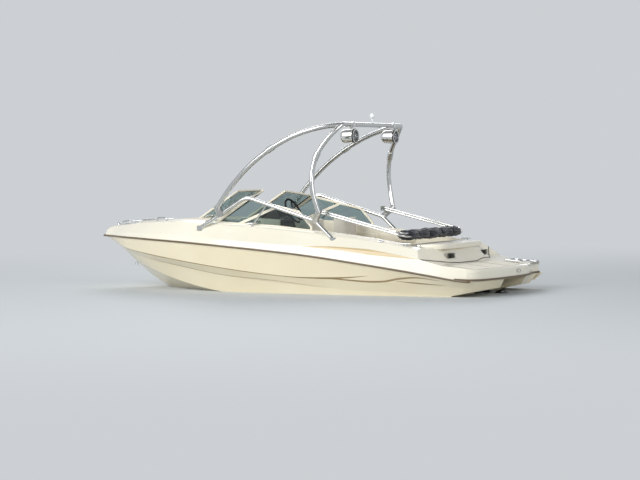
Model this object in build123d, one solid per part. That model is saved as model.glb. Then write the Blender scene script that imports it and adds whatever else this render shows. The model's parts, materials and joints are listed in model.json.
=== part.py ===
"""Open bow speedboat with a tow tower, afloat: x forward, y to port, z up, millimetres.

The origin is on the waterline, on the centreline, about amidships.
"""
import os
from math import cos, radians, sin, tan

from build123d import *

# Mouldings
TRANSOM_X = -2450       # aft face of the hull under the platform
PLATFORM_AFT_X = -2950  # aftmost point of the swim platform
WALL = 20               # liner thickness
BEDDING = 0.1           # sealant between the hull and the deck
RAIL_REACH = 12         # how far the rub rail stands out
RAIL_TALL = 24          # rub rail height
RAIL_ROOT = 10          # how deep the rub rail is let in
STERN_LOW_Z = 11        # underside of the stern wings at the transom
STERN_RISE_Z = 128      # and at the aftmost point
STERN_DRAFT = 0.5       # how far the stern face leans in for each millimetre down

# The stern's plan: distance forward of the aftmost point, and share of the half breadth
STERN = ((330, 1.0), (225, 0.985), (135, 0.92), (80, 0.78), (35, 0.5))
STERN_SPARE = 6         # how much wider the stern's plan starts than the hull is there
TRUNK_PLAN = ((390, 1.0), (150, 0.78), (50, 0.55))
TRUNK_PLAN_HALF = 1202

# Hull sections from the transom to the stem: where, the keel's height, then the half
# breadth and height of the chine, the spray knuckle, the upper knuckle and the sheer
HULL = (
    # x, keel_z, chine_y, chine_z, low_y, low_z, knuckle_y, knuckle_z, sheer_y, sheer_z
    (-2950, -368, 868, -50, 905, 14, 984, 112, 1098, 216),
    (-2450, -372, 885, -58, 925, 20, 1008, 130, 1112, 236),
    (-2000, -376, 905, -68, 952, 30, 1040, 160, 1136, 308),
    (-1300, -378, 935, -78, 992, 55, 1075, 192, 1165, 408),
    (-600, -378, 950, -76, 1022, 100, 1100, 225, 1187, 500),
    (100, -370, 940, -56, 1042, 160, 1115, 258, 1197, 568),
    (800, -335, 885, -6, 1000, 228, 1095, 330, 1180, 623),
    (1400, -248, 780, 88, 905, 312, 1012, 402, 1093, 660),
    (1950, -112, 620, 214, 745, 385, 848, 468, 920, 681),
    (2350, 68, 440, 325, 555, 444, 650, 515, 712, 690),
    (2700, 296, 225, 440, 330, 515, 425, 565, 482, 694),
    (2950, 500, 90, 555, 150, 590, 215, 622, 262, 694),
    (3130, 622, 38, 640, 62, 652, 92, 666, 118, 693),
    (3225, 672, 14, 677, 24, 681, 36, 686, 48, 693),
)

# Deck sections at the same places: half breadth and height of the side's crease, the
# shoulder and the coaming's edge, then the height of the crown on the centreline
DECK = (
    # x, crease_y, crease_z, shoulder_y, shoulder_z, rail_y, rail_z, crown_z
    (-2950, 1086, 330, 985, 430, 880, 450, 455),
    (-2450, 1096, 400, 1000, 510, 905, 532, 540),
    (-2000, 1112, 495, 1010, 590, 920, 612, 618),
    (-1300, 1138, 578, 995, 695, 905, 728, 736),
    (-600, 1150, 622, 985, 768, 905, 806, 816),
    (100, 1165, 655, 985, 832, 905, 872, 884),
    (800, 1138, 705, 972, 882, 880, 916, 930),
    (1400, 1048, 738, 880, 908, 780, 940, 955),
    (1950, 868, 752, 708, 902, 610, 928, 942),
    (2350, 664, 755, 520, 884, 430, 904, 916),
    (2700, 444, 755, 330, 850, 250, 866, 878),
    (2950, 240, 750, 168, 828, 120, 842, 852),
    (3130, 104, 742, 70, 796, 46, 812, 822),
    (3225, 40, 728, 26, 758, 16, 770, 778),
)

# Cockpit and bow well
SOLE_Z = 130            # top of the cockpit sole
COCKPIT_HALF = 850      # half the cockpit's width
COCKPIT_AFT_X = -1870
DASH_X = 600            # aft face of the dash
FOOTWELL_X = 1100       # front wall under the dash
FOOTWELL_TOP_Z = 690
WALKWAY_HALF = 290      # half the way through between the consoles
WELL_AFT_X = 1200
WELL_FORE_X = 2600
WELL_AFT_HALF = 700
WELL_FORE_HALF = 220
WELL_FLOOR_FORE_X = 2020
WELL_FLOOR_HALF = 280
BOW_SEAT_Z = 420        # top of the bow seat bases
BENCH_FORE_X = -1250
BENCH_Z = 360           # top of the aft bench base
LINER_TOP_Z = 560
WELL_LINER_TOP_Z = 800

# Aft trunk over the engine, its lid and the engine
TRUNK_FORE_X = -1905
TRUNK_TOP_AFT_X = -2215
TRUNK_FOOT_X = -2375
TRUNK_HALF = 735
TRUNK_TOP_Z = 575
HATCH_HALF = 720
HATCH_THICK = 62
HATCH_PIN_R = 5
HATCH_NOSE_R = 10       # rounding of the lid's front edge about its hinge
VENT_Y = (430, 640)     # the recessed vents in the trunk's aft face
VENT_Z = (462, 528)
ENGINE_LONG = 700
ENGINE_WIDE = 620
ENGINE_TALL = 430
ENGINE_AFT_X = -2330
ENGINE_FOOT_Z = -130
BAY_CLEAR = 50          # room left round the engine

# Swim platform and the ledge that runs forward from it to the deck's crease
LEDGE = ((-1990, 500), (-2213, 440), (-2400, 395), (-2960, 338))
PLATFORM_FORE_X = -2392 # joint between the deck and the platform
PLATFORM_EDGE_Z = 322   # above this the stern's edge leans in at 45 degrees

# Windshield: the inner post, the outer corner, then the wing's end
SCREEN_BASE = (1130, 945)
SCREEN_TOP = (540, 1305)
SCREEN_POST_Y = 320
CORNER_BASE = (900, 925)
CORNER_TOP = (420, 1232)
SCREEN_SIDE_Y = 900
SCREEN_FRAME = 34       # width of the frame's bars
SCREEN_DEEP = 22        # thickness of the frame's bars
TOP_BAR = 16            # width of the bar along the glass's top edge
GLASS_THICK = 6
SCREEN_LAP = 4          # how far the front frame runs past the wing's middle
WING_SHOULDER = (-330, 1062)
WING_END = (-510, 866)
MULLION = ((590, 885), (-40, 1132))
PANE_GAP = 7            # clearance round the opening pane
PANE_PIN_R = 4
PANE_BARREL_R = 9

# Tow tower
TOWER_Y = 1000
BASE_TUBE_R = 25
LEG_TUBE_R = 31
FOOT_PLATE = 95
TOWER_TOP_Z = 2165
TOWER_TOP_X = -945
TOWER_BAR_HALF = 830    # half the straight part of the rear bar
SPEAKER_R = 88
SPEAKER_LONG = 215
SPEAKER_Y = 607
SPEAKER_FORE = 50       # how far ahead of the bar the speaker's middle hangs
COUPLING_R = 40         # swollen couplings where the legs come apart
COUPLING_LONG = 110

# The tower's rear and front legs, from foot to top
REAR_LEG = ((-712, 1112, 1045), (-645, 1152, 1300), (-630, 1135, 1560), (-684, 1090, 1800),
            (-810, 1010, 2000), (-905, 930, 2118))
FRONT_LEG = ((800, 1066, 1110), (620, 1078, 1350), (314, 1088, 1650), (-20, 1084, 1880),
             (-378, 1064, 2050), (-700, 990, 2135))

# Folded bimini
BIMINI_PIVOT_X = -640
BIMINI_PIVOT_Z = 1040
BIMINI_Y = 940
BIMINI_TUBE_R = 12.5
BIMINI_REACH = 1235
BIMINI_FOLD = 14        # degrees that the folded arms slope down aft
BIMINI_PIN_R = 8
BOOT_LONG = 250         # the folded canvas in its cover: fore and aft, and upright
BOOT_TALL = 140
BOOT_HALF = 800
BOOT_AFT = 47           # how far it stands out aft of the lower bow's tube
BOOT_SOFT = 55          # rounding of its edges

# Seats
SEAT_X = -150
SEAT_Y = 480
SEAT_WIDE = 480
SEAT_CORNER = 150       # plan radius of the seat's corners
SEAT_BACK = 400         # height of the back above the seat
SHELL = 22              # thickness of the seat's moulding
SEAT_TOP_Z = 540
CUSHION = 90

# Steering wheel
WHEEL_X = 500
WHEEL_Y = -480
WHEEL_Z = 1030
WHEEL_R = 175
WHEEL_TILT = 28         # degrees that the column leans back

# Towing eyes on the stem and on the platform's aft edge
EYE_R = 14
EYE_THICK = 12
BOW_EYE_X = 2748
BOW_EYE_Z = 302
TOW_EYE_Z = 290

# Stern drive
STEER_X = -2572         # steering and tilt axes cross here
TILT_Z = -120
FORK_HALF = 122         # half the steering ring's width and height
FORK_BAR = 28
FORK_DEEP = 58
RUN_CLEAR = 7           # clearance between pieces that move past each other
LEG_CLEAR = 130         # from the tilt axis back to the upper housing
UPPER_LONG = 150
UPPER_TOP = 98          # from the tilt axis up to the upper housing's top
LUG_HALF = 32           # half the width of the gimbal's lugs
DRIVE_GAP = 350         # half the gap in the skirt round the drive
PROP_DROP = 500         # from the tilt axis down to the propeller shaft
PROP_BACK = 160         # from the tilt axis back to the leg's middle
TORPEDO_R = 55
PROP_R = 178
BLADE_COUNT = 3
# A blade's sections: radius, half chord, half thickness and pitch in degrees
BLADE = ((15, 38, 8, 55), (95, 62, 7, 45), (PROP_R - 22, 56, 5, 38), (PROP_R, 26, 3, 35))
TRIM_REST = 20          # degrees that the leg is trimmed up at rest

# Boarding ladder
LADDER_Y = -640
LADDER_HALF = 125
LADDER_LONG = 340
LADDER_TUBE_R = 11
LADDER_PIN_X = PLATFORM_AFT_X + 15
LADDER_PIN_Z = 366


def save(shape, name):
    """Write one sub-part."""
    export_step(shape, f"parts/{name}.step")


def row_at(table, x):
    """A table's row at x, straight between its stations."""
    for low, high in zip(table, table[1:]):
        if x <= high[0]:
            break
    share = (x - low[0]) / (high[0] - low[0])
    return [a + share * (b - a) for a, b in zip(low, high)]


def ring(x, half):
    """A closed section at x from its half outline, given from the centreline up."""
    other = [(-y, z) for y, z in reversed(half) if y]
    return make_face(Polyline(*[(x, y, z) for y, z in half + other], close=True))


def pairs(row, first):
    """The (y, z) pairs of a row from a column on."""
    return list(zip(row[first::2], row[first + 1::2]))


def tube(path, radius):
    """A round tube along a path."""
    return sweep(Plane(origin=path @ 0, z_dir=path % 0) * Circle(radius), path=path)


def eased(points):
    """A path through points whose bends are as wide as the straights between them allow."""
    spots = [Vector(*p) for p in points]
    radii = []
    for a, b, c in zip(spots, spots[1:], spots[2:]):
        turn = radians((b - a).get_angle(c - b))
        reach = 0.48 * min((b - a).length, (c - b).length)
        radii.append(min(reach / tan(turn / 2), WIDEST_BEND))
    return FilletPolyline(*spots, radius=radii)


def rod(start, end, radius):
    """A straight round bar between two points."""
    way = Vector(*end) - Vector(*start)
    return Plane(origin=start, z_dir=way) * extrude(Circle(radius), way.length)


def block(x, y, z, corner=0):
    """A block from three (low, high) pairs, with its upright edges rounded."""
    shape = Pos((x[0] + x[1]) / 2, (y[0] + y[1]) / 2, (z[0] + z[1]) / 2) * Box(
        x[1] - x[0], y[1] - y[0], z[1] - z[0])
    return fillet(shape.edges().filter_by(Axis.Z), corner) if corner else shape


def cushion(x, y, z, soft=30):
    """A plain upholstered block with soft edges."""
    shape = block(x, y, z)
    return fillet(shape.edges(), soft)


def both(shape):
    """A port piece and its starboard mirror image."""
    return Compound(list(shape.solids()) + list(mirror(shape, about=Plane.XZ).solids()))


def plan(points, low, high, corner=0):
    """A prism over a half plan outline, mirrored across the centreline."""
    other = [(x, -y) for x, y in reversed(points) if y]
    face = make_face(Polyline(*[(x, y, low) for x, y in points + other], close=True))
    shape = extrude(face, high - low, dir=(0, 0, 1))
    return fillet(shape.edges().filter_by(Axis.Z), corner) if corner else shape


SKY = 1500              # above every opening
WIDEST_BEND = 4000


def cockpit_room(inset):
    """The cockpit, footwells, walkway and bow well, drawn in by a wall thickness."""
    half = COCKPIT_HALF - inset
    aft = COCKPIT_AFT_X + inset
    room = block((BENCH_FORE_X, DASH_X), (-half, half), (SOLE_Z - WALL + inset, SKY))
    room += block((aft, BENCH_FORE_X + 1 + inset), (-half, half), (BENCH_Z - WALL + inset, SKY))
    room += block((DASH_X - 1, FOOTWELL_X - inset), (-half, half),
                  (SOLE_Z - WALL + inset, FOOTWELL_TOP_Z - inset))
    way = WALKWAY_HALF - inset
    room += block((DASH_X - 1, WELL_AFT_X + WALL + 1), (-way, way), (SOLE_Z - WALL + inset, SKY))
    room += plan([(WELL_AFT_X + inset, WELL_AFT_HALF - inset),
                  (WELL_FORE_X - inset, WELL_FORE_HALF - inset)],
                 BOW_SEAT_Z - WALL + inset, SKY, 90 - inset)
    floor = WELL_FLOOR_HALF - inset
    room += block((WELL_AFT_X + inset - 1, WELL_FLOOR_FORE_X - inset), (-floor, floor),
                  (SOLE_Z - WALL + inset, SKY))
    return room


def liner_height():
    """The space that the liner's walls may fill, lower aft than in the bow well."""
    return (block((-3000, DASH_X + 1), (-1000, 1000), (-500, LINER_TOP_Z))
            + block((DASH_X, 3000), (-1000, 1000), (-500, FOOTWELL_TOP_Z))
            + block((WELL_AFT_X, 3000), (-1000, 1000), (-500, WELL_LINER_TOP_Z)))


def engine_bay():
    """The closed space round the engine, open to the trunk's hatch."""
    half = ENGINE_WIDE / 2 + BAY_CLEAR
    bay = block((ENGINE_AFT_X - BAY_CLEAR, ENGINE_AFT_X + ENGINE_LONG + BAY_CLEAR), (-half, half),
                (ENGINE_FOOT_Z - BAY_CLEAR, BENCH_Z - 2 * WALL))
    mouth = block((TRUNK_TOP_AFT_X + 60, TRUNK_FORE_X - 60), (-half - 150, half + 150),
                  (BENCH_Z - 3 * WALL, SKY))
    return bay + mouth


def stern_face(aft, half, z, table=STERN, flare=2):
    """A plan face at a height, with a rounded outline at its aft end, wider forward."""
    port = [(aft + back, share * half, z) for back, share in table]
    star = [(x, -y, z) for x, y, _ in reversed(port)]
    curve = Spline(*port, (aft, 0, z), *star, tangents=[(-1, 0, 0), (1, 0, 0)])
    fore = Polyline(star[-1], (SKY * 3, -flare * half, z), (SKY * 3, flare * half, z), port[0])
    return make_face([curve] + list(fore.edges()))


def stern_block(*levels):
    """All that lies inside the stern's outline, drawn through (aft, height, half) levels."""
    return loft([stern_face(aft, half, z) for aft, z, half in levels], ruled=True)


def trunk_block(low, high):
    """All that lies inside the trunk's rounded aft outline, between (aft, height) pairs."""
    return loft([stern_face(aft, TRUNK_PLAN_HALF, z, TRUNK_PLAN, 1) for aft, z in (low, high)],
                ruled=True)


def profile(points, half):
    """A prism across the boat over a side profile of (x, z) points."""
    face = make_face(Polyline(*[(x, 0, z) for x, z in points], close=True))
    return extrude(face, half, both=True)


def hull_form():
    """The hull's outer form up to the joint, before its wings and its inside are cut."""
    body = loft([ring(row[0], [(0, row[1])] + pairs(row, 2)) for row in HULL])
    quarter = row_at(HULL, PLATFORM_AFT_X + STERN[0][0])
    joint = HULL[0][9]
    levels = [(z, y + STERN_SPARE) for y, z in pairs(quarter, 2)]
    levels = [(levels[0][0] - SKY, levels[0][1])] + levels + [(SKY, levels[-1][1])]
    return body & stern_block(*[(PLATFORM_AFT_X + STERN_DRAFT * (joint - z), z, half)
                                for z, half in levels])


def hull():
    """The hull moulding from the keel to the joint, with wings aft beside the stern drive."""
    aft, deep = PLATFORM_AFT_X - 100, HULL[0][1] - 100
    body = hull_skin - profile([(TRANSOM_X, STERN_LOW_Z), (aft, STERN_RISE_Z), (aft, deep),
                                (TRANSOM_X, deep)], SKY)
    body -= block((aft, TRANSOM_X), (-DRIVE_GAP, DRIVE_GAP), (deep, SKY))
    return body - room_cut - engine_bay()


def deck_block():
    """The whole upper moulding: deck, rounded trunk and the platform with its ledge."""
    sections = []
    for low, top in zip(HULL, DECK):
        joint = low[9] + BEDDING
        half = [(0, joint), (low[8], joint)] + pairs(top, 1)[:3] + [(0, top[7])]
        sections.append(ring(top[0], half))
    body = loft(sections)
    wide = row_at(HULL, PLATFORM_AFT_X + STERN[0][0])[8] + STERN_SPARE
    body &= stern_block((PLATFORM_AFT_X, 0, wide), (PLATFORM_AFT_X, PLATFORM_EDGE_Z, wide),
                        (PLATFORM_AFT_X + SKY, PLATFORM_EDGE_Z + SKY, wide))
    ledge = profile(list(LEDGE) + [(LEDGE[-1][0], SKY), (LEDGE[0][0], SKY)], SKY)
    rake = (TRUNK_TOP_AFT_X - TRUNK_FOOT_X) / (TRUNK_TOP_Z - LEDGE[2][1])
    low, high = LEDGE[-1][1], TRUNK_TOP_Z + 200
    body -= ledge - trunk_block((TRUNK_FOOT_X - rake * (LEDGE[2][1] - low), low),
                                (TRUNK_TOP_AFT_X + rake * (high - TRUNK_TOP_Z), high))
    aft = TRUNK_FOOT_X - 300
    body -= block((aft, TRUNK_FORE_X), (-TRUNK_HALF, TRUNK_HALF), (TRUNK_TOP_Z, SKY))
    vent = block((TRUNK_FOOT_X - 50, TRUNK_TOP_AFT_X - 10), VENT_Y, VENT_Z)
    vent = fillet(vent.edges().filter_by(Axis.X), 14)
    return body - vent - mirror(vent, about=Plane.XZ)


def deck():
    """The deck moulding with its raised trunk, open over the cockpit and the bow well."""
    fore = block((PLATFORM_FORE_X, 2 * SKY + SKY), (-SKY, SKY), (0, SKY))
    return (upper_body & fore) - room_cut - engine_bay()


def platform():
    """The swim platform, aft of its joint with the deck."""
    return upper_body & block((PLATFORM_AFT_X - 100, PLATFORM_FORE_X), (-SKY, SKY), (0, SKY))


def rub_rail():
    """The dark rub rail over the joint, along both sides, round the stem and the stern."""
    half = RAIL_TALL / 2
    sections = []
    for row in HULL:
        x, y, z = row[0], row[8], row[9]
        sections.append(make_face(Polyline(
            (x, y - RAIL_ROOT, z - half), (x, y + RAIL_REACH - 4, z - half),
            (x, y + RAIL_REACH, z), (x, y + RAIL_REACH - 4, z + half),
            (x, y - RAIL_ROOT, z + half), close=True)))
    side = loft(sections)
    x, y, z = HULL[-1][0], HULL[-1][8], HULL[-1][9]
    nose = Pos(x, 0, z) * Cylinder(y + RAIL_REACH, RAIL_TALL)
    nose &= block((x, x + SKY), (-SKY, SKY), (0, SKY))
    aft, fore = PLATFORM_AFT_X - RAIL_REACH, PLATFORM_AFT_X + RAIL_ROOT
    wide = row_at(HULL, PLATFORM_AFT_X + STERN[0][0])[8] + STERN_SPARE
    outer = stern_block((aft, 0, wide + RAIL_REACH), (aft, SKY, wide + RAIL_REACH))
    inner = stern_block((fore, 0, wide - RAIL_ROOT), (fore, SKY, wide - RAIL_ROOT))
    ends = ((aft, HULL[0][9]), (TRANSOM_X, HULL[1][9]))
    strip = profile([(x, z - half) for x, z in ends] + [(x, z + half) for x, z in ends[::-1]],
                    HULL[0][8] + RAIL_REACH)
    rail = (side + mirror(side, about=Plane.XZ) + nose) & outer
    return rail + ((outer & strip) - inner) - hull_skin - upper_body


def hatch_axis():
    """The place and height of the lid's hinge at its front edge."""
    return (TRUNK_FORE_X - HATCH_NOSE_R - RUN_CLEAR, TRUNK_TOP_Z + 1 + HATCH_THICK - HATCH_NOSE_R)


def hatch():
    """The engine hatch lid: rounded aft corners, a lip over the trunk's face, a round nose."""
    x, z = hatch_axis()
    lid = block((TRUNK_TOP_AFT_X - 24, x), (-HATCH_HALF, HATCH_HALF),
                (TRUNK_TOP_Z + 1, TRUNK_TOP_Z + 1 + HATCH_THICK))
    lid = fillet(lid.edges().filter_by(Axis.Z).group_by(Axis.X)[0], 180)
    top = lid.faces().sort_by(Axis.Z)[-1].edges()
    lid = fillet([e for e in top if (e @ 0.5).X < x - 1], 24)
    lid += rod((x, -HATCH_HALF, z), (x, HATCH_HALF, z), HATCH_NOSE_R)
    for way in (-1, 1):
        lid -= rod((x, way * (HATCH_HALF - 45), z), (x, way * (HATCH_HALF + 1), z),
                   HATCH_PIN_R + 0.1)
    return lid


def hatch_hinges():
    """Plates in the gap beside the lid, with the pins that it turns on."""
    x, z = hatch_axis()
    plate = block((x - 22, x + 16), (HATCH_HALF + 5, TRUNK_HALF), (TRUNK_TOP_Z, z + 9), 4)
    pin = rod((x, HATCH_HALF - 30, z), (x, HATCH_HALF + 8, z), HATCH_PIN_R)
    return both(plate + pin)


def engine():
    """The engine as one plain block."""
    return block((ENGINE_AFT_X, ENGINE_AFT_X + ENGINE_LONG),
                 (-ENGINE_WIDE / 2, ENGINE_WIDE / 2),
                 (ENGINE_FOOT_Z, ENGINE_FOOT_Z + ENGINE_TALL), 30)


def raked(y, share):
    """A point of the front glass at a breadth, at a share of the way from base to top."""
    out = (y - SCREEN_POST_Y) / (SCREEN_SIDE_Y - SCREEN_POST_Y)
    base = [a + out * (b - a) for a, b in zip(SCREEN_BASE, CORNER_BASE)]
    top = [a + out * (b - a) for a, b in zip(SCREEN_TOP, CORNER_TOP)]
    return Vector(base[0] + share * (top[0] - base[0]), y, base[1] + share * (top[1] - base[1]))


def slab(breadths, shares, deep):
    """A flat bar or sheet of the front glass between two breadths and two shares."""
    ends = []
    for y in breadths:
        low, high = raked(y, shares[0]), raked(y, shares[1])
        lean = (high - low).normalized()
        out = Vector(lean.Z, 0, -lean.X) * (deep / 2)
        ends.append(make_face(Polyline(low - out, low + out, high + out, high - out, close=True)))
    return loft(ends, ruled=True)


def front_pane():
    """One raked front pane's frame and glass."""
    near, far = SCREEN_POST_Y, SCREEN_SIDE_Y + SCREEN_LAP
    long = (raked(near, 1) - raked(near, 0)).length
    low, high = SCREEN_FRAME / long, 1 - TOP_BAR / long
    frame = slab((near, near + SCREEN_FRAME), (0, 1), SCREEN_DEEP)
    frame += slab((far - SCREEN_FRAME, far), (0, 1), SCREEN_DEEP)
    frame += slab((near, far), (0, low), SCREEN_DEEP) + slab((near, far), (high, 1), SCREEN_DEEP)
    glass = slab((near + SCREEN_FRAME, far - SCREEN_FRAME), (low, high), GLASS_THICK)
    return frame, glass


def wing():
    """One side wing's frame, with its raked mullion, and its two panes."""
    foot = row_at(DECK, 0)[6] - 12
    points = [CORNER_BASE, CORNER_TOP, WING_SHOULDER, WING_END, (WING_END[0], WING_END[1] - 70),
              (0, foot), (CORNER_BASE[0], CORNER_BASE[1] - 22)]
    outer = make_face(Polyline(*[(x, SCREEN_SIDE_Y, z) for x, z in points], close=True))
    shoulder = outer.vertices().sort_by_distance((WING_SHOULDER[0], SCREEN_SIDE_Y, WING_SHOULDER[1]))
    outer = fillet(shoulder[0], 110)
    inner = offset(outer, -SCREEN_FRAME + 8)
    (x0, z0), (x1, z1) = MULLION
    across = Vector(z1 - z0, 0, x0 - x1).normalized() * (SCREEN_FRAME / 2)
    low, high = Vector(x0, SCREEN_SIDE_Y, z0), Vector(x1, SCREEN_SIDE_Y, z1)
    bar = make_face(Polyline(low - across, low + across, high + across, high - across, close=True))
    frame = extrude(outer - inner, SCREEN_DEEP / 2, both=True)
    bar = extrude(bar, SCREEN_DEEP / 2, both=True) & extrude(outer, SCREEN_DEEP, both=True)
    glass = extrude(inner, GLASS_THICK / 2, both=True)
    return frame + bar, glass - bar


def hinge_line():
    """The opening pane's hinge: a point at the post's foot, the way up it and its length."""
    low, high = raked(SCREEN_POST_Y, 0), raked(SCREEN_POST_Y, 1)
    lean = (high - low).normalized()
    out = Vector(lean.Z, 0, -lean.X)
    return low + out * (SCREEN_DEEP + PANE_GAP), lean, (high - low).length


def windshield():
    """Fixed frames and glass of both sides, with the lugs and pins that carry the pane."""
    front, glass = front_pane()
    side, side_glass = wing()
    start, lean, long = hinge_line()
    out = Vector(lean.Z, 0, -lean.X)
    frame = front + side
    lugs = Part()
    for foot, way in ((start - lean * 26, 1), (start + lean * (long + 26), -1)):
        pin = rod(tuple(foot), tuple(foot + lean * (46 * way)), PANE_PIN_R)
        inner = foot - out * (SCREEN_DEEP + PANE_GAP)
        lug = rod(tuple(inner + lean * (way * 30)), tuple(inner + lean * (way * 4)), 11)
        arm = rod(tuple(inner + lean * (way * 10) - out * 4), tuple(foot + lean * (way * 10)), 8)
        lugs += pin + arm + lug
    frame_port = frame + lugs - deck_body
    frame_star = mirror(frame - deck_body, about=Plane.XZ)
    glass = Part() + [glass - frame, side_glass - frame]
    return Compound(list(frame_port.solids()) + list(frame_star.solids())), both(glass)


def centre_pane():
    """The opening centre pane, folded over to port on its hinge, with its barrel."""
    start, lean, long = hinge_line()
    wide = 2 * SCREEN_POST_Y - 4 * PANE_GAP
    a = start + Vector(0, PANE_GAP, 0)
    flat = Plane(origin=a, x_dir=(0, 1, 0), z_dir=Vector(0, 1, 0).cross(lean))
    outer = flat * Pos(wide / 2, long / 2) * Rectangle(wide, long)
    inner = flat * Pos(wide / 2, long / 2) * Rectangle(wide - 2 * SCREEN_FRAME,
                                                       long - SCREEN_FRAME - TOP_BAR)
    bars = extrude(outer, PANE_BARREL_R, both=True) - extrude(inner, PANE_BARREL_R, both=True)
    barrel = rod(tuple(start), tuple(start + lean * long), PANE_BARREL_R)
    frame = bars + barrel
    for foot, way in ((start, 1), (start + lean * long, -1)):
        frame -= rod(tuple(foot - lean * way), tuple(foot + lean * (way * 30)), PANE_PIN_R + 0.1)
    return frame, extrude(inner, GLASS_THICK / 2, both=True)


def base_tubes():
    """The bent tube on each side that carries the tower, its foot plates and its stay."""
    y = TOWER_Y
    points = [(1100, y, 840), (400, y, 1245), (-600, y, 940), (-860, y, 700)]
    run = tube(FilletPolyline(*points, radius=[200, 160]), BASE_TUBE_R)
    feet = Part() + [Pos(x, y, z) * Cylinder(FOOT_PLATE / 2, 60) for x, _, z in
                     (points[0], points[-1])]
    stay = rod((350, SCREEN_SIDE_Y + 60, 860), (95, y, 1150), 11)
    return both(run + feet + stay - deck_body)


def tower():
    """The tower: a rear hoop, and two front legs that sweep aft to meet its corners."""
    top = (TOWER_TOP_X, TOWER_BAR_HALF, TOWER_TOP_Z)
    rear = eased(REAR_LEG + ((TOWER_TOP_X, TOWER_BAR_HALF + 50, TOWER_TOP_Z), top))
    front = eased(FRONT_LEG + ((TOWER_TOP_X + 20, TOWER_BAR_HALF + 70, TOWER_TOP_Z - 4),))
    half = tube(rear, LEG_TUBE_R) + tube(front, LEG_TUBE_R)
    for leg, share in ((rear, 0.56), (front, 0.53)):
        middle, way = leg @ share, leg % share
        sleeve = Plane(origin=middle - way * (COUPLING_LONG / 2), z_dir=way) * extrude(
            Circle(COUPLING_R), COUPLING_LONG)
        half += fillet(sleeve.edges(), 7)
    bar = rod(top, (top[0], -top[1], top[2]), LEG_TUBE_R)
    return half + mirror(half, about=Plane.XZ) + bar


def tower_clamps():
    """Clamps that hold each leg on the base tube."""
    fore = rod((812, 1062, 1135), (786, 1000, 1000), 42)
    aft = rod((-718, 1112, 1072), (-600, 1000, 935), 42)
    return both(Compound(list((fore - base_body - tower_body).solids())
                         + list((aft - base_body - tower_body).solids())))


def speakers():
    """Two bullet shaped speakers under the rear bar, nose forward, with rims and clamps."""
    aft = TOWER_TOP_X + SPEAKER_FORE - SPEAKER_LONG / 2
    z = TOWER_TOP_Z - 148
    along = Pos(aft, SPEAKER_Y, z) * Rot(0, 90, 0)
    pod = extrude(Circle(SPEAKER_R), SPEAKER_LONG)
    pod = fillet(pod.faces().sort_by(Axis.Z)[-1].edges(), SPEAKER_R * 0.82)
    rim = fillet(extrude(Circle(SPEAKER_R + 6), 26).edges(), 5)
    pod = along * (pod + rim - extrude(Circle(SPEAKER_R - 10), 14))
    stem = rod((TOWER_TOP_X, SPEAKER_Y, z + SPEAKER_R - 12), (TOWER_TOP_X, SPEAKER_Y, TOWER_TOP_Z), 22)
    collar = rod((TOWER_TOP_X, SPEAKER_Y - 30, TOWER_TOP_Z), (TOWER_TOP_X, SPEAKER_Y + 30, TOWER_TOP_Z),
                 LEG_TUBE_R + 9)
    return both(pod + stem + collar - tower_body)


def mast_light():
    """The all round light on the rear bar."""
    pole = rod((TOWER_TOP_X, 0, TOWER_TOP_Z), (TOWER_TOP_X, 0, TOWER_TOP_Z + 95), 12)
    lamp = rod((TOWER_TOP_X, 0, TOWER_TOP_Z + 95), (TOWER_TOP_X, 0, TOWER_TOP_Z + 140), 22)
    return pole + lamp - tower_body


def bimini():
    """The folded bimini's two bows, and the rolled canvas in its boot."""
    slope = radians(BIMINI_FOLD)
    bows = Part()
    for lift in (0, 30):
        start = (BIMINI_PIVOT_X - 10 * sin(slope), BIMINI_PIVOT_Z + lift)
        reach = BIMINI_REACH - lift
        end = (start[0] - reach * cos(slope), start[1] - reach * sin(slope))
        y = BIMINI_Y
        bows += tube(FilletPolyline((start[0], y, start[1]), (end[0], y, end[1]),
                                    (end[0], -y, end[1]), (start[0], -y, start[1]), radius=120),
                     BIMINI_TUBE_R)
    heel = Pos(BIMINI_PIVOT_X, BIMINI_Y, BIMINI_PIVOT_Z + 12) * Box(60, 30, 60)
    bows += heel + mirror(heel, about=Plane.XZ)
    bows -= rod((BIMINI_PIVOT_X, -TOWER_Y, BIMINI_PIVOT_Z),
                (BIMINI_PIVOT_X, TOWER_Y, BIMINI_PIVOT_Z), BIMINI_PIN_R + 0.1)
    low = (BIMINI_PIVOT_X - BIMINI_REACH * cos(slope), BIMINI_PIVOT_Z - BIMINI_REACH * sin(slope))
    roll = cushion((low[0] - BOOT_AFT, low[0] - BOOT_AFT + BOOT_LONG), (-BOOT_HALF, BOOT_HALF),
                   (low[1] - BOOT_TALL / 3, low[1] + BOOT_TALL * 2 / 3), BOOT_SOFT)
    return bows, roll - bows


def bimini_mounts():
    """Posts on the base tubes, with the pins that the bimini's arms turn on."""
    x, z = BIMINI_PIVOT_X, BIMINI_PIVOT_Z
    pin = rod((x, TOWER_Y, z), (x, BIMINI_Y - 12, z), BIMINI_PIN_R)
    post = rod((x, TOWER_Y - 6, 880), (x, TOWER_Y - 6, z + 14), 14)
    mount = (pin + post - base_body - deck_body - clamp_body).solids().sort_by(Axis.Z)[-1]
    return both(mount)


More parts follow.
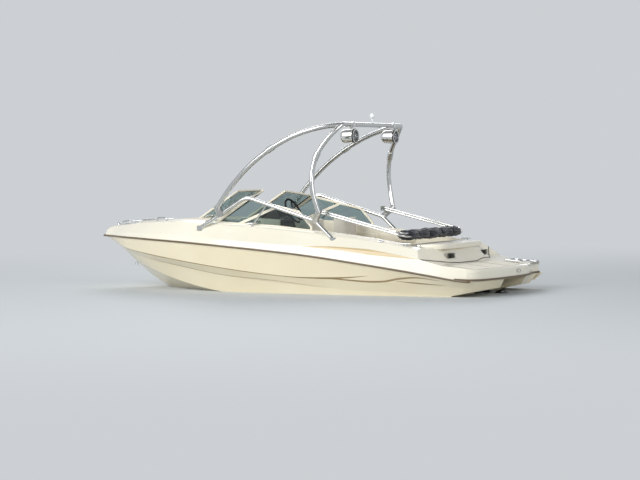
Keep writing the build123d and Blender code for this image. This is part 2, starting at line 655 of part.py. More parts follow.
def seat(side):
    """A helm chair: pedestal, moulded shell and cushions, round at the corners to swivel."""
    y = side * SEAT_Y
    low = SEAT_TOP_Z - CUSHION
    half = SEAT_WIDE / 2
    pedestal = rod((SEAT_X, y, SOLE_Z), (SEAT_X, y, low - SHELL - 0.5), 45)
    pedestal += rod((SEAT_X, y, SOLE_Z), (SEAT_X, y, SOLE_Z + 14), 130)
    across = (y - half, y + half)
    along = (SEAT_X - half, SEAT_X + half)
    tub = block(along, across, (low - SHELL, SEAT_TOP_Z + SEAT_BACK), SEAT_CORNER)
    room = block((along[0] + SHELL, along[1] - SHELL), (across[0] + SHELL, across[1] - SHELL),
                 (low, SKY), SEAT_CORNER - SHELL)
    shell = tub - room
    shell -= block((SEAT_X - half + 150, SEAT_X + half + 1), (y - half - 1, y + half + 1),
                   (low + 60, SKY))
    pads = room & block((along[0], along[1]), across, (low, SEAT_TOP_Z))
    pads = fillet(pads.faces().sort_by(Axis.Z)[-1].edges(), 25)
    rest = room & block((along[0], along[0] + SHELL + 85), across, (SEAT_TOP_Z + 3,
                                                                   SEAT_TOP_Z + SEAT_BACK))
    rest = fillet(rest.faces().sort_by(Axis.Z)[-1].edges(), 20)
    return pedestal, shell, Compound(list(pads.solids()) + list(rest.solids()))


def bench():
    """The aft bench cushion and its backrest."""
    half = COCKPIT_HALF - WALL - 10
    aft = COCKPIT_AFT_X + WALL
    pad = cushion((aft + 105, BENCH_FORE_X + 10), (-half, half), (BENCH_Z, BENCH_Z + CUSHION))
    rest = cushion((aft, aft + 100), (-half, half), (BENCH_Z, TRUNK_TOP_Z - 5))
    return pad, rest


def bow_cushions():
    """The bow well's cushions round its footwell, and the two backrests at its aft end."""
    inside = [(WELL_AFT_X + WALL + 6, WELL_AFT_HALF - WALL - 10),
              (WELL_FORE_X - WALL - 12, WELL_FORE_HALF - WALL - 10)]
    whole = plan(inside, BOW_SEAT_Z, BOW_SEAT_Z + CUSHION, 60)
    floor = WELL_FLOOR_HALF - WALL + 4
    whole -= block((WELL_AFT_X - 10, WELL_FLOOR_FORE_X - WALL + 4), (-floor, floor), (0, SKY), 60)
    whole -= block((WELL_FLOOR_FORE_X - 1, WELL_FLOOR_FORE_X + 5), (-900, 900), (0, SKY))
    rest = cushion((WELL_AFT_X + WALL + 2, WELL_AFT_X + WALL + 92), (floor + 40, WELL_AFT_HALF - 100),
                   (BOW_SEAT_Z + CUSHION + 2, WELL_LINER_TOP_Z - 5))
    return Compound(list(whole.solids()) + list(both(rest).solids()))


def dash_pod():
    """The raised instrument pod ahead of the wheel, on the dash."""
    shape = profile([(DASH_X - 40, 780), (DASH_X - 20, 850), (DASH_X + 30, 990), (DASH_X + 95, 1040),
                     (DASH_X + 260, 1000), (DASH_X + 330, 880), (DASH_X + 120, 760)], 190)
    pod = Pos(0, WHEEL_Y, 0) * fillet(shape.edges().filter_by(Axis.Y), 22)
    return pod - deck_body - console_part


def steering_wheel():
    """The wheel, its spokes, hub and shaft, about its leaning column."""
    wheel = Torus(WHEEL_R, 14)
    for turn in (90, 210, 330):
        wheel += Rot(0, 0, turn) * Pos(WHEEL_R / 2, 0, -8) * Box(WHEEL_R, 26, 8)
    wheel += Pos(0, 0, -12) * Cylinder(42, 26) + Pos(0, 0, -50) * Cylinder(24, 80)
    return Pos(WHEEL_X, WHEEL_Y, WHEEL_Z) * Rot(0, -90 + WHEEL_TILT, 0) * wheel


def cleats():
    """Six mooring cleats on the deck's edge."""
    out = []
    for x in (2450, 350, -1850):
        row = row_at(DECK, x)
        y = (row[3] + row[5]) / 2
        z = (row[4] + row[6]) / 2
        bar = rod((x - 75, y, z + 32), (x + 75, y, z + 32), 8)
        feet = rod((x - 25, y, z - 20), (x - 25, y, z + 32), 8) + rod(
            (x + 25, y, z - 20), (x + 25, y, z + 32), 8)
        out += list((bar + feet - deck_body).solids())
    return both(Compound(out))


def bow_rails():
    """Low grab rails on each side of the bow."""
    rail = []
    for x in (2820, 1990):
        row = row_at(DECK, x)
        end = row_at(DECK, x - 190)
        y, z = (row[3] + row[5]) / 2, (row[4] + row[6]) / 2
        y2, z2 = (end[3] + end[5]) / 2, (end[4] + end[6]) / 2
        points = [(x, y, z - 15), (x, y, z + 48), (x - 190, y2, z2 + 48), (x - 190, y2, z2 - 15)]
        rail += list((tube(FilletPolyline(*points, radius=30), 11) - deck_body).solids())
    return both(Compound(rail))


def eye(x, z, lean):
    """An eye plate on the centreline with a round bore across it."""
    plate = Pos(0, EYE_THICK / 2, 0) * Rot(90, 0, 0) * extrude(Circle(EYE_R + 13), EYE_THICK)
    plate += block((-70, 0), (-EYE_THICK / 2, EYE_THICK / 2), (-EYE_R - 8, EYE_R + 8))
    plate -= rod((0, -50, 0), (0, 50, 0), EYE_R)
    return Pos(x, 0, z) * Rot(0, lean, 0) * plate


def tilted(shape):
    """Turn a piece of the leg about the tilt axis to its trim at rest."""
    return shape.rotate(Axis((STEER_X, 0, TILT_Z), (0, 1, 0)), TRIM_REST)


def gimbal():
    """The housing on the transom, with a lug above and below the steering ring."""
    plate = block((TRANSOM_X - 30, TRANSOM_X), (-190, 190), (TILT_Z - 190, TILT_Z + 190))
    plate = fillet(plate.edges().filter_by(Axis.X), 50)
    near = FORK_HALF + RUN_CLEAR
    for way in (-1, 1):
        low, high = sorted((TILT_Z + way * near, TILT_Z + way * (near + 26)))
        plate += block((STEER_X - 22, TRANSOM_X - 29), (-LUG_HALF, LUG_HALF), (low, high))
    return plate - rod((STEER_X, 0, TILT_Z - 300), (STEER_X, 0, TILT_Z + 300), 10.1)


def fork():
    """The steering ring between the lugs, with its upright pins and bores for the tilt pins."""
    half, bar, deep = FORK_HALF, FORK_BAR, FORK_DEEP
    ring_ = block((STEER_X - deep / 2, STEER_X + deep / 2), (-half, half),
                  (TILT_Z - half, TILT_Z + half), 12)
    ring_ -= block((STEER_X - deep, STEER_X + deep), (bar - half, half - bar),
                   (TILT_Z - half + 20, TILT_Z + half - 20))
    ring_ -= block((STEER_X - deep, STEER_X - 18), (bar - half, half - bar),
                   (TILT_Z - half - 1, TILT_Z + half + 1))
    ring_ -= block((STEER_X + 18, STEER_X + deep), (bar - half, half - bar),
                   (TILT_Z - half - 1, TILT_Z + half + 1))
    for way in (-1, 1):
        ring_ += rod((STEER_X, 0, TILT_Z + way * (half - 4)),
                     (STEER_X, 0, TILT_Z + way * (half + RUN_CLEAR + 26)), 10)
    return ring_ - rod((STEER_X, -half - 1, TILT_Z), (STEER_X, half + 1, TILT_Z), 16.1)


def drive_leg():
    """The drive's upper housing, leg, cavitation plate, torpedo and skeg."""
    x = STEER_X - PROP_BACK
    shaft = TILT_Z - PROP_DROP
    face = STEER_X - LEG_CLEAR
    upper = block((face - UPPER_LONG, face), (-82, 82), (TILT_Z - 130, TILT_Z + UPPER_TOP), 40)
    upper = fillet(upper.faces().sort_by(Axis.Z)[-1].edges(), 30)
    neck = rod((face - 5, 0, TILT_Z), (STEER_X + 18, 0, TILT_Z), 55)
    side_pins = rod((STEER_X, -FORK_HALF, TILT_Z), (STEER_X, FORK_HALF, TILT_Z), 16)
    leg = block((x - 110, x + 25), (-34, 34), (shaft, TILT_Z - 120), 30)
    plate = block((x - 170, x + 60), (-95, 95), (TILT_Z - 262, TILT_Z - 250), 60)
    torpedo = rod((x - 150, 0, shaft), (x + 105, 0, shaft), TORPEDO_R)
    torpedo = fillet(torpedo.faces().sort_by(Axis.X)[-1].edges(), TORPEDO_R * 0.8)
    skeg = extrude(make_face(Polyline((x + 50, 0, shaft), (x + 10, 0, shaft - 165),
                                      (x - 90, 0, shaft - 165), (x - 120, 0, shaft), close=True)),
                   7, both=True)
    return tilted(upper + neck + side_pins + leg + plate + torpedo + skeg)


def propeller():
    """The propeller: a hub and twisted blades, each drawn through five sided sections."""
    x = STEER_X - PROP_BACK - 156
    wheel = rod((x - 95, 0, 0), (x, 0, 0), TORPEDO_R - 8)
    root = Plane(origin=(x - 45, 0, 0), z_dir=(0, 0, 1))
    shape = ((-1, 0), (-0.4, 0.8), (0.3, 1), (1, 0), (0, -0.6))
    for turn in range(BLADE_COUNT):
        sections = []
        for radius, chord, thick, pitch in BLADE:
            outline = Polyline(*[(chord * a, thick * b) for a, b in shape], close=True)
            sections.append(root.offset(radius) * Rot(0, 0, pitch) * make_face(outline))
        blade = loft(sections)
        wheel += blade.rotate(Axis((x, 0, 0), (1, 0, 0)), turn * 360 / BLADE_COUNT)
    return tilted(Pos(0, 0, TILT_Z - PROP_DROP) * wheel)


def ladder():
    """The boarding ladder, folded forward on the platform."""
    x, z = LADDER_PIN_X, LADDER_PIN_Z
    steps = Part()
    for side in (-1, 1):
        y = LADDER_Y + side * LADDER_HALF
        steps += rod((x, y, z), (x + LADDER_LONG, y, z + 30), LADDER_TUBE_R)
    steps += rod((x, LADDER_Y - LADDER_HALF - 36, z), (x, LADDER_Y + LADDER_HALF + 36, z), 6)
    for share in (0.34, 0.67, 0.98):
        steps += block((x + share * LADDER_LONG - 22, x + share * LADDER_LONG + 22),
                       (LADDER_Y - LADDER_HALF, LADDER_Y + LADDER_HALF),
                       (z + 30 * share - 8, z + 30 * share + 8))
    return steps


def ladder_bracket():
    """The bracket on the platform's edge that the ladder turns on."""
    z = LADDER_PIN_Z
    out = []
    for side in (-1, 1):
        y = LADDER_Y + side * (LADDER_HALF + 30)
        ear = block((LADDER_PIN_X - 18, PLATFORM_AFT_X + 150), (y - 6, y + 6), (z - 40, z + 18))
        ear -= rod((LADDER_PIN_X, y - 10, z), (LADDER_PIN_X, y + 10, z), 6.1)
        out += list((ear - platform_body - rail_body).solids())
    return Compound(out)


room_cut = cockpit_room(WALL) + (cockpit_room(0) & liner_height())
os.makedirs("parts", exist_ok=True)
hull_skin = hull_form()
upper_body = deck_block()
hull_body = hull()
deck_body = deck()
platform_body = platform()
liner_body = (cockpit_room(0) & liner_height()) - cockpit_room(WALL)
floor_zone = block((-3000, 3000), (-1000, 1000), (-500, SOLE_Z))
console_zone = block((DASH_X - 1, WELL_AFT_X), (-1000, 1000), (SOLE_Z, SKY))
bow_zone = block((WELL_AFT_X, 3000), (-1000, 1000), (SOLE_Z, SKY))
aft_zone = block((-3000, DASH_X - 1), (-1000, 1000), (SOLE_Z, SKY))
console_part = liner_body & console_zone
save(hull_body, "hull")
save(deck_body, "deck")
save(platform_body, "swim_platform")
save(liner_body & floor_zone, "cockpit_sole")
save(liner_body & aft_zone, "cockpit_liner")
save(console_part, "console_liner")
save(liner_body & bow_zone, "bow_liner")
rail_body = rub_rail()
base_body = base_tubes()
tower_body = tower()
clamp_body = tower_clamps()
save(rail_body, "rub_rail")
save(base_body, "tower_base_tubes")
save(tower_body, "tower_hoop")
save(clamp_body, "tower_clamps")
save(speakers(), "tower_speakers")
save(mast_light(), "all_round_light")
save(hatch(), "engine_hatch")
save(hatch_hinges(), "hatch_hinges")
save(engine(), "engine_block")
frame_part, glass_part = windshield()
save(frame_part, "windshield_frame")
save(glass_part, "windshield_glass")
frame_part, glass_part = centre_pane()
save(frame_part, "centre_pane_frame")
save(glass_part, "centre_pane_glass")
bows_part, boot_part = bimini()
save(bows_part, "bimini_bows")
save(boot_part, "bimini_boot")
save(bimini_mounts(), "bimini_mounts")
for side_name, side_sign in (("passenger", 1), ("helm", -1)):
    post_part, shell_part, pads_part = seat(side_sign)
    save(post_part, f"{side_name}_seat_pedestal")
    save(shell_part, f"{side_name}_seat_shell")
    save(pads_part, f"{side_name}_seat_cushions")
pad_part, rest_part = bench()
save(pad_part, "bench_cushion")
save(rest_part, "bench_backrest")
save(bow_cushions(), "bow_cushions")
save(dash_pod(), "instrument_pod")
save(steering_wheel(), "steering_wheel")
save(cleats(), "mooring_cleats")
save(bow_rails(), "bow_grab_rails")
save(eye(BOW_EYE_X, BOW_EYE_Z, 40) - hull_body, "bow_eye")
save(eye(PLATFORM_AFT_X - 34, TOW_EYE_Z, 180) - platform_body, "tow_eye")
save(gimbal(), "gimbal_housing")
save(fork(), "steering_fork")
save(drive_leg(), "drive_leg")
save(propeller(), "propeller")
save(ladder(), "boarding_ladder")
save(ladder_bracket(), "ladder_brackets")
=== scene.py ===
"""Looks of the open bow speedboat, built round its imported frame. Metres, x forward, z up.

The water's plane is z = 0, and the floor of the scene lies there.
"""
import json
import math

import bmesh
import bpy
import numpy as np
from mathutils import Matrix, Vector
from mathutils.bvhtree import BVHTree


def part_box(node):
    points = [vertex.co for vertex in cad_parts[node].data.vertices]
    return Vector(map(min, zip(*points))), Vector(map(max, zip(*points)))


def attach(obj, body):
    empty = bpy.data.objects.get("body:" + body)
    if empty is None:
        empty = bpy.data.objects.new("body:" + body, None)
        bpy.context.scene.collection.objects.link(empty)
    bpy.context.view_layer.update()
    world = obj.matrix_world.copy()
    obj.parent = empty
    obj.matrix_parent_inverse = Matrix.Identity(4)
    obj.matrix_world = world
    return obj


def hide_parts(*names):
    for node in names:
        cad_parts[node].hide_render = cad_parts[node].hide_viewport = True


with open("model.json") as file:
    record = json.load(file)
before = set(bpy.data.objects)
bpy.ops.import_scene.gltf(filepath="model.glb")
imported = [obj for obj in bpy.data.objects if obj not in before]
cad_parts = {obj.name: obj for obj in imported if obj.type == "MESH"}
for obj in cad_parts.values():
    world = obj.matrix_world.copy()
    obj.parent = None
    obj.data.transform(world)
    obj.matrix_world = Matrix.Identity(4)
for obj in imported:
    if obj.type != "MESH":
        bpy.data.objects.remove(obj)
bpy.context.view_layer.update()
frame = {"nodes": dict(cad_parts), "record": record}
nodes = frame["nodes"]

MM = 0.001
SKY = 3.0       # above everything, where rays that look down start
ABEAM = 2.0     # beside everything, where rays that look across start


def show(item):
    """Link an object to the scene."""
    bpy.context.scene.collection.objects.link(item)


# Camera

CAMERA_PLACE = (-11.842, 22.563, 1.644)
CAMERA_YAW = 0.478        # radians from straight aft round to starboard
CAMERA_PITCH = 0.0390     # radians below the horizon
CAMERA_ROLL = 0.011
FOCAL_PIXELS = 1908.4     # focal length over the width of a 640 pixel picture
PICTURE_WIDE = 640
SENSOR = 36.0


def add_camera():
    """A camera at the photograph's place, looking at the boat's port side from astern."""
    data = bpy.data.cameras.new("camera")
    data.sensor_width = SENSOR
    data.lens = FOCAL_PIXELS / PICTURE_WIDE * SENSOR
    data.clip_end = 200
    ahead = Vector((math.sin(CAMERA_YAW) * math.cos(CAMERA_PITCH),
                    -math.cos(CAMERA_YAW) * math.cos(CAMERA_PITCH), -math.sin(CAMERA_PITCH)))
    right = Vector((-math.cos(CAMERA_YAW), -math.sin(CAMERA_YAW), 0))
    up = right.cross(ahead)
    x_axis = math.cos(CAMERA_ROLL) * right - math.sin(CAMERA_ROLL) * up
    y_axis = math.sin(CAMERA_ROLL) * right + math.cos(CAMERA_ROLL) * up
    turn = Matrix((x_axis, y_axis, -ahead)).transposed().to_4x4()
    camera = bpy.data.objects.new("camera", data)
    camera.matrix_world = Matrix.Translation(CAMERA_PLACE) @ turn
    show(camera)
    bpy.context.scene.camera = camera


# Materials

VINYL_GRAIN_MM = 2.2
THREAD_MM = 1.5
WAVES_PER_UNIT = 0.314      # the wave texture repeats at this share of its scale


def linear(code, share=1.0):
    """A linear colour from an sRGB hex code, made darker by a share."""
    parts = [int(code[i:i + 2], 16) / 255 for i in (1, 3, 5)]
    parts = [p / 12.92 if p <= 0.04045 else ((p + 0.055) / 1.055) ** 2.4 for p in parts]
    return [p * share for p in parts] + [1]


def put(tree, kind, settings=None, **links):
    """Add a node with its settings; each link names an input and gives a socket or a value."""
    node = tree.nodes.new(kind)
    for key, value in (settings or {}).items():
        setattr(node, key, value)
    for key, value in links.items():
        place = int(key[1:]) if key[0] == "i" and key[1:].isdigit() else key.replace("_", " ")
        socket = node.inputs[place]
        if isinstance(value, bpy.types.NodeSocket):
            tree.links.new(value, socket)
        else:
            socket.default_value = value
    return node


def give(node, **values):
    """Set the values of a node's inputs, each named with _ for a space."""
    for key, value in values.items():
        node.inputs[key.replace("_", " ")].default_value = value


def new_material(name):
    """An empty node material with its shader linked; returns material, tree and shader."""
    material = bpy.data.materials.new(name)
    material.use_nodes = True
    tree = material.node_tree
    tree.nodes.clear()
    shader = put(tree, "ShaderNodeBsdfPrincipled")
    out = put(tree, "ShaderNodeOutputMaterial")
    tree.links.new(shader.outputs[0], out.inputs["Surface"])
    return material, tree, shader


def ramp(tree, factor, stops):
    """A colour ramp from (place, colour code) stops."""
    node = put(tree, "ShaderNodeValToRGB")
    tree.links.new(factor, node.inputs[0])
    line = node.color_ramp
    while len(line.elements) < len(stops):
        line.elements.new(1.0)
    for element, (place, code) in zip(line.elements, stops):
        element.position = place
        element.color = linear(code)
    return node.outputs[0]


def noise(tree, size_mm, detail=2.0, stretch=(1, 1, 1)):
    """Noise on Object coordinates whose features are about size_mm across."""
    where = put(tree, "ShaderNodeTexCoord").outputs["Object"]
    scale = put(tree, "ShaderNodeMapping", Scale=stretch, Vector=where).outputs[0]
    return put(tree, "ShaderNodeTexNoise", Scale=1 / (size_mm * MM), Detail=detail,
               Vector=scale).outputs[0]


def bump(tree, shader, height, depth_mm, strength=1.0):
    """A bump of a real depth on a shader."""
    node = put(tree, "ShaderNodeBump", Strength=strength, Distance=depth_mm * MM, Height=height)
    tree.links.new(node.outputs[0], shader.inputs["Normal"])


def spread(tree, factor, low, high):
    """A number between 0 and 1 carried into the range from low to high."""
    return put(tree, "ShaderNodeMapRange", Value=factor, To_Min=low, To_Max=high).outputs[0]


def mottle(tree, shader, code, size_mm, detail, share):
    """Colour a shader with a code that wanders to a darker share of itself."""
    tone = put(tree, "ShaderNodeMixRGB", Fac=noise(tree, size_mm, detail), Color1=linear(code),
               Color2=linear(code, share))
    tree.links.new(tone.outputs[0], shader.inputs["Base Color"])


def gelcoat(name, light, shade):
    """Polished gelcoat: a glossy resin skin whose colour drifts a little over a metre.

    A mould has no sharp edge, so the shading rounds each edge by 6 mm.
    """
    material, tree, shader = new_material(name)
    edge = put(tree, "ShaderNodeBevel", {"samples": 4}, Radius=0.006).outputs[0]
    tree.links.new(edge, shader.inputs["Normal"])
    tree.links.new(edge, shader.inputs["Coat Normal"])
    tone = ramp(tree, noise(tree, 900, 3), [(0.35, light), (0.75, shade)])
    tree.links.new(tone, shader.inputs["Base Color"])
    rough = spread(tree, noise(tree, 140, 4), 0.14, 0.24)
    tree.links.new(rough, shader.inputs["Roughness"])
    give(shader, IOR=1.5, Coat_Weight=0.3, Coat_Roughness=0.12)
    return material


def metal(name, code, rough, grain_mm=4.0, depth_mm=0.002):
    """A bare metal with fine grain along its length and slightly uneven shine."""
    material, tree, shader = new_material(name)
    give(shader, Metallic=1.0)
    mottle(tree, shader, code, 60, 3, 0.86)
    uneven = spread(tree, noise(tree, 25, 4), rough * 0.7, rough * 1.3)
    tree.links.new(uneven, shader.inputs["Roughness"])
    bump(tree, shader, noise(tree, grain_mm, 2), depth_mm, 0.3)
    return material


def plastic(name, code, rough, grain_mm=1.2, depth_mm=0.05):
    """Moulded plastic or paint with a fine texture."""
    material, tree, shader = new_material(name)
    mottle(tree, shader, code, 80, 3, 0.88)
    give(shader, Roughness=rough)
    bump(tree, shader, noise(tree, grain_mm, 2), depth_mm, 0.5)
    return material


def vinyl(name, code):
    """Marine upholstery vinyl: a soft sheen over a fine leather grain."""
    material, tree, shader = new_material(name)
    mottle(tree, shader, code, 120, 3, 0.86)
    give(shader, Roughness=0.45, Sheen_Weight=0.15)
    where = put(tree, "ShaderNodeTexCoord").outputs["Object"]
    cells = put(tree, "ShaderNodeTexVoronoi", {"feature": "DISTANCE_TO_EDGE"},
                Scale=1 / (VINYL_GRAIN_MM * MM), Vector=where)
    bump(tree, shader, cells.outputs["Distance"], 0.12, 0.5)
    return material


def screen_glass(name):
    """Tempered safety glass, clear with the grey blue tint of its edge."""
    material, tree, shader = new_material(name)
    give(shader, Base_Color=linear("#9DAFAE"), Transmission_Weight=1.0, Roughness=0.01, IOR=1.5)
    return material


def canvas(name, code):
    """Woven acrylic canvas: its 0.5 mm threads are drawn at 1.5 mm so that they show."""
    material, tree, shader = new_material(name)
    where = put(tree, "ShaderNodeTexCoord").outputs["Object"]
    warp, weft = [put(tree, "ShaderNodeTexWave", {"bands_direction": way},
                      Scale=WAVES_PER_UNIT / (THREAD_MM * MM), Vector=where).outputs["Fac"]
                  for way in ("Y", "DIAGONAL")]
    weave = put(tree, "ShaderNodeMath", {"operation": "ADD"}, i0=warp, i1=weft)
    mottle(tree, shader, code, 90, 4, 0.6)
    give(shader, Roughness=0.9, Sheen_Weight=0.3)
    bump(tree, shader, weave.outputs[0], 0.25, 0.5)
    return material


MATERIALS = {
    # sprayed and polished in the mould, so it mirrors softly and its cream drifts a little
    "hull_gelcoat": gelcoat("cream_gelcoat", "#EFE4C8", "#E9DCBC"),
    "deck_gelcoat": gelcoat("ivory_gelcoat", "#EFEAD9", "#E8E2CF"),
    # the same resin inside, drawn a little darker and greyer than the deck as painted shade, since
    # it lies out of the sun
    "liner_gelcoat": gelcoat("liner_gelcoat", "#DDD6C6", "#D0C9B8"),
    # a pressed-in vinyl band, dull and brown against the cream
    "rail_vinyl": plastic("extruded_vinyl", "#6B5B45", 0.4),
    # drawn tube, polished by hand: near mirror, with a faint haze along it
    "polished_aluminium": metal("polished_aluminium", "#D9D9D7", 0.11),
    # sand cast and tumbled, so its grain shows and its shine is broken
    "cast_aluminium": metal("cast_aluminium", "#CDCDCC", 0.32, 1.5, 0.04),
    # steel plated bright: the hardest mirror on the boat
    "speaker_paint": metal("chromed_shell", "#EEEDEA", 0.06),
    "lamp_plastic": plastic("white_acrylic", "#E9EBED", 0.2),
    "engine_paint": plastic("engine_enamel", "#1B1C1F", 0.4),
    # powder coated extrusion: an even satin skin with fine orange peel
    "frame_paint": plastic("cream_powder_coat", "#F5EEDA", 0.3, 1.5, 0.02),
    "tinted_glass": screen_glass("tinted_glass"),
    "canvas": canvas("navy_canvas", "#1C202C"),
    # rotationally moulded, so its skin is waxy and slightly pebbled
    "seat_plastic": plastic("moulded_polyethylene", "#DAD5C8", 0.4),
    "vinyl": vinyl("marine_vinyl", "#E4DCC8"),
    "dash_plastic": plastic("dash_vinyl", "#3B352F", 0.55),
    "wheel_rubber": plastic("wheel_grip", "#17171A", 0.5),
    "stainless": metal("stainless_steel", "#DADBDC", 0.12),
    # sprayed enamel over castings, wet looking where it is smooth
    "drive_paint": plastic("drive_enamel", "#121315", 0.3),
    "propeller_alloy": plastic("propeller_enamel", "#1B1C1E", 0.35),
    # pieces that are drawn only here
    # vinyl stripes, and also the painted shade line along the chine
    "stripe_vinyl_and_chine_shade": plastic("stripe_vinyl_and_chine_shade", "#A38D66", 0.3, 2.0, 0.01),
    # painted shade: a tan that stands in for the shade inside the deck's moulded scallop
    "scallop_painted_shade": gelcoat("painted_scallop_shade", "#CFB98F", "#C6AF84"),
    # painted shade: a dark line in the groove along the riser's foot
    "sealant": plastic("polyurethane_sealant", "#4C4A46", 0.5, 1.5, 0.03),
    "piping_vinyl": vinyl("piping_vinyl", "#CBBFA4"),
    "strap_webbing": plastic("strap_webbing", "#0E1014", 0.85, 1.5, 0.2),
    "gasket_rubber": plastic("black_rubber", "#161616", 0.55),
    "white_acrylic": plastic("white_trim", "#F2EFE6", 0.3),
    "cone_paper": plastic("cone_paper", "#222326", 0.6),
    "clear_lens": plastic("frosted_lens", "#F4F6F8", 0.12, 1.2, 0.01),
    # its real grit is 0.4 mm; it is drawn at 2.4 mm so that it shows
    "nonskid": plastic("nonskid_gelcoat", "#E2DCCB", 0.6, 2.4, 0.3),
    "louvre_plastic": plastic("louvre_plastic", "#2A2927", 0.5),
    "dial_black": plastic("dial_black", "#0D0E11", 0.25),
    "needle_paint": plastic("needle_paint", "#ECE7DA", 0.5),
    "stitch_thread": plastic("stitch_thread", "#3A3A3E", 0.7),
    "sole_mat": plastic("woven_mat", "#A39A88", 0.85, 3.0, 0.6),
}


def dress_nodes():
    """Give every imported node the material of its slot."""
    for row in frame["record"]["subparts"]:
        node = nodes[row["node"]]
        node.data.materials.clear()
        node.data.materials.append(MATERIALS[row["material_slot"]])


# Meshes

def add_piece(name, verts, faces, material, body="root", smooth=True):
    """A new piece from points and faces, riding on a body."""
    mesh = bpy.data.meshes.new(name)
    mesh.from_pydata([tuple(map(float, v)) for v in verts], [], faces)
    mesh.materials.append(material)
    mesh.polygons.foreach_set("use_smooth", [smooth] * len(mesh.polygons))
    mesh.update()
    piece = bpy.data.objects.new(name, mesh)
    show(piece)
    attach(piece, body)
    return piece


def joined(parts):
    """One (points, faces) pair from several."""
    verts, faces, base = [], [], 0
    for points, polygons in parts:
        verts.append(np.asarray(points, float))
        faces += [[i + base for i in face] for face in polygons]
        base += len(points)
    return np.concatenate(verts), faces


def turned(faces):
    """The same faces, seen from their other side."""
    return [face[::-1] for face in faces]


def mirrored(part):
    """A part and its mirror image across the centreline, as one pair."""
    points, faces = part
    other = np.asarray(points, float) * (1, -1, 1)
    return joined([part, (other, turned(faces))])


def grid_faces(rows, columns, close_rows=False, close_columns=False):
    """Quads of a grid of points, closed in either direction if asked."""
    last_r = rows if close_rows else rows - 1
    last_c = columns if close_columns else columns - 1
    return [[r * columns + c, r * columns + (c + 1) % columns,
             (r + 1) % rows * columns + (c + 1) % columns, (r + 1) % rows * columns + c]
            for r in range(last_r) for c in range(last_c)]


def capped_faces(rows, columns):
    """Quads of a row of closed rings, with one face over each end."""
    last = (rows - 1) * columns
    return grid_faces(rows, columns, False, True) + [
        list(range(columns))[::-1], [last + i for i in range(columns)]]


def full_turn(count):
    """Angles spread evenly round a circle."""
    return np.linspace(0, 2 * math.pi, count, endpoint=False)


def curve_through(points, count):
    """A smooth Catmull-Rom curve through points, as count rows."""
    p = np.asarray(points, float)
    p = np.vstack([2 * p[0] - p[1], p, 2 * p[-1] - p[-2]])
    t = np.linspace(0, len(p) - 3 - 1e-9, count)
    i = t.astype(int)
    u = (t - i)[:, None]
    a, b, c, d = p[i], p[i + 1], p[i + 2], p[i + 3]
    return 0.5 * (2 * b + (c - a) * u + (2 * a - 5 * b + 4 * c - d) * u ** 2
                  + (3 * b - a - 3 * c + d) * u ** 3)


def tube(path, radius, sides=10, closed=False):
    """A round tube along a path: each ring lies square to the path, with the least twist."""
    p = np.asarray(path, float)
    ahead = np.roll(p, -1, 0) - np.roll(p, 1, 0)
    if not closed:
        ahead[0], ahead[-1] = p[1] - p[0], p[-1] - p[-2]
    ahead /= np.linalg.norm(ahead, axis=1)[:, None]
    start = np.cross(ahead[0], (0, 0, 1.0))
    if np.linalg.norm(start) < 0.1:
        start = np.cross(ahead[0], (0, 1.0, 0))
    sides_at = []
    across = start / np.linalg.norm(start)
    for way in ahead:
        across = across - way * across.dot(way)
        across /= np.linalg.norm(across)
        sides_at.append(across)
    across = np.array(sides_at)
    up = np.cross(ahead, across)
    turn = full_turn(sides)
    width = np.broadcast_to(np.asarray(radius, float), (len(p),))[:, None, None]
    rings = p[:, None] + width * (np.cos(turn)[None, :, None] * across[:, None]
                                  + np.sin(turn)[None, :, None] * up[:, None])
    faces = grid_faces(len(p), sides, True, True) if closed else capped_faces(len(p), sides)
    return rings.reshape(-1, 3), faces


def lathe(outline, start, axis, sides=24):
    """A solid of revolution: (radius, height) pairs turned about an axis from a start."""
    way = np.asarray(axis, float)
    way /= np.linalg.norm(way)
    side = np.cross(way, (0, 0, 1.0) if abs(way[2]) < 0.9 else (1.0, 0, 0))
    side /= np.linalg.norm(side)
    other = np.cross(way, side)
    turn = full_turn(sides)
    rings = [np.asarray(start, float) + way * h
             + max(r, 1e-5) * (np.cos(turn)[:, None] * side + np.sin(turn)[:, None] * other)
             for r, h in outline]
    return np.concatenate(rings), capped_faces(len(rings), sides)


def brick(centre, size, turn_y=0.0, turn_z=0.0):
    """A block about its centre, turned about y and then about z."""
    signs = np.array([(-1, -1, -1), (1, -1, -1), (1, 1, -1), (-1, 1, -1),
                      (-1, -1, 1), (1, -1, 1), (1, 1, 1), (-1, 1, 1)], float)
    p = signs * np.asarray(size) / 2
    c, s = math.cos(turn_y), math.sin(turn_y)
    p = np.stack([p[:, 0] * c + p[:, 2] * s, p[:, 1], p[:, 2] * c - p[:, 0] * s], 1)
    c, s = math.cos(turn_z), math.sin(turn_z)
    p = np.stack([p[:, 0] * c - p[:, 1] * s, p[:, 0] * s + p[:, 1] * c, p[:, 2]], 1)
    faces = [[0, 3, 2, 1], [4, 5, 6, 7], [0, 1, 5, 4], [1, 2, 6, 5], [2, 3, 7, 6], [3, 0, 4, 7]]
    return p + np.asarray(centre, float), faces


def rounded(piece, wide, steps=3):
    """Round a piece's sharp edges."""
    bevel = piece.modifiers.new("edges", "BEVEL")
    bevel.width = wide
    bevel.segments = steps
    bevel.limit_method = "ANGLE"
    bevel.angle_limit = math.radians(35)
    return piece


def tree_of(*names):
    """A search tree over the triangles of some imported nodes."""
    verts, faces = [], []
    for name in names:
        mesh = nodes[name].data
        base = len(verts)
        verts += [v.co[:] for v in mesh.vertices]
        faces += [[i + base for i in p.vertices] for p in mesh.polygons]
    return BVHTree.FromPolygons(verts, faces)


def laid(tree, x, y):
    """The point of a tree's surface that lies under (x, y), seen from above."""
    return tree.ray_cast((x, y, SKY), (0, 0, -1))[0]


# Stripes

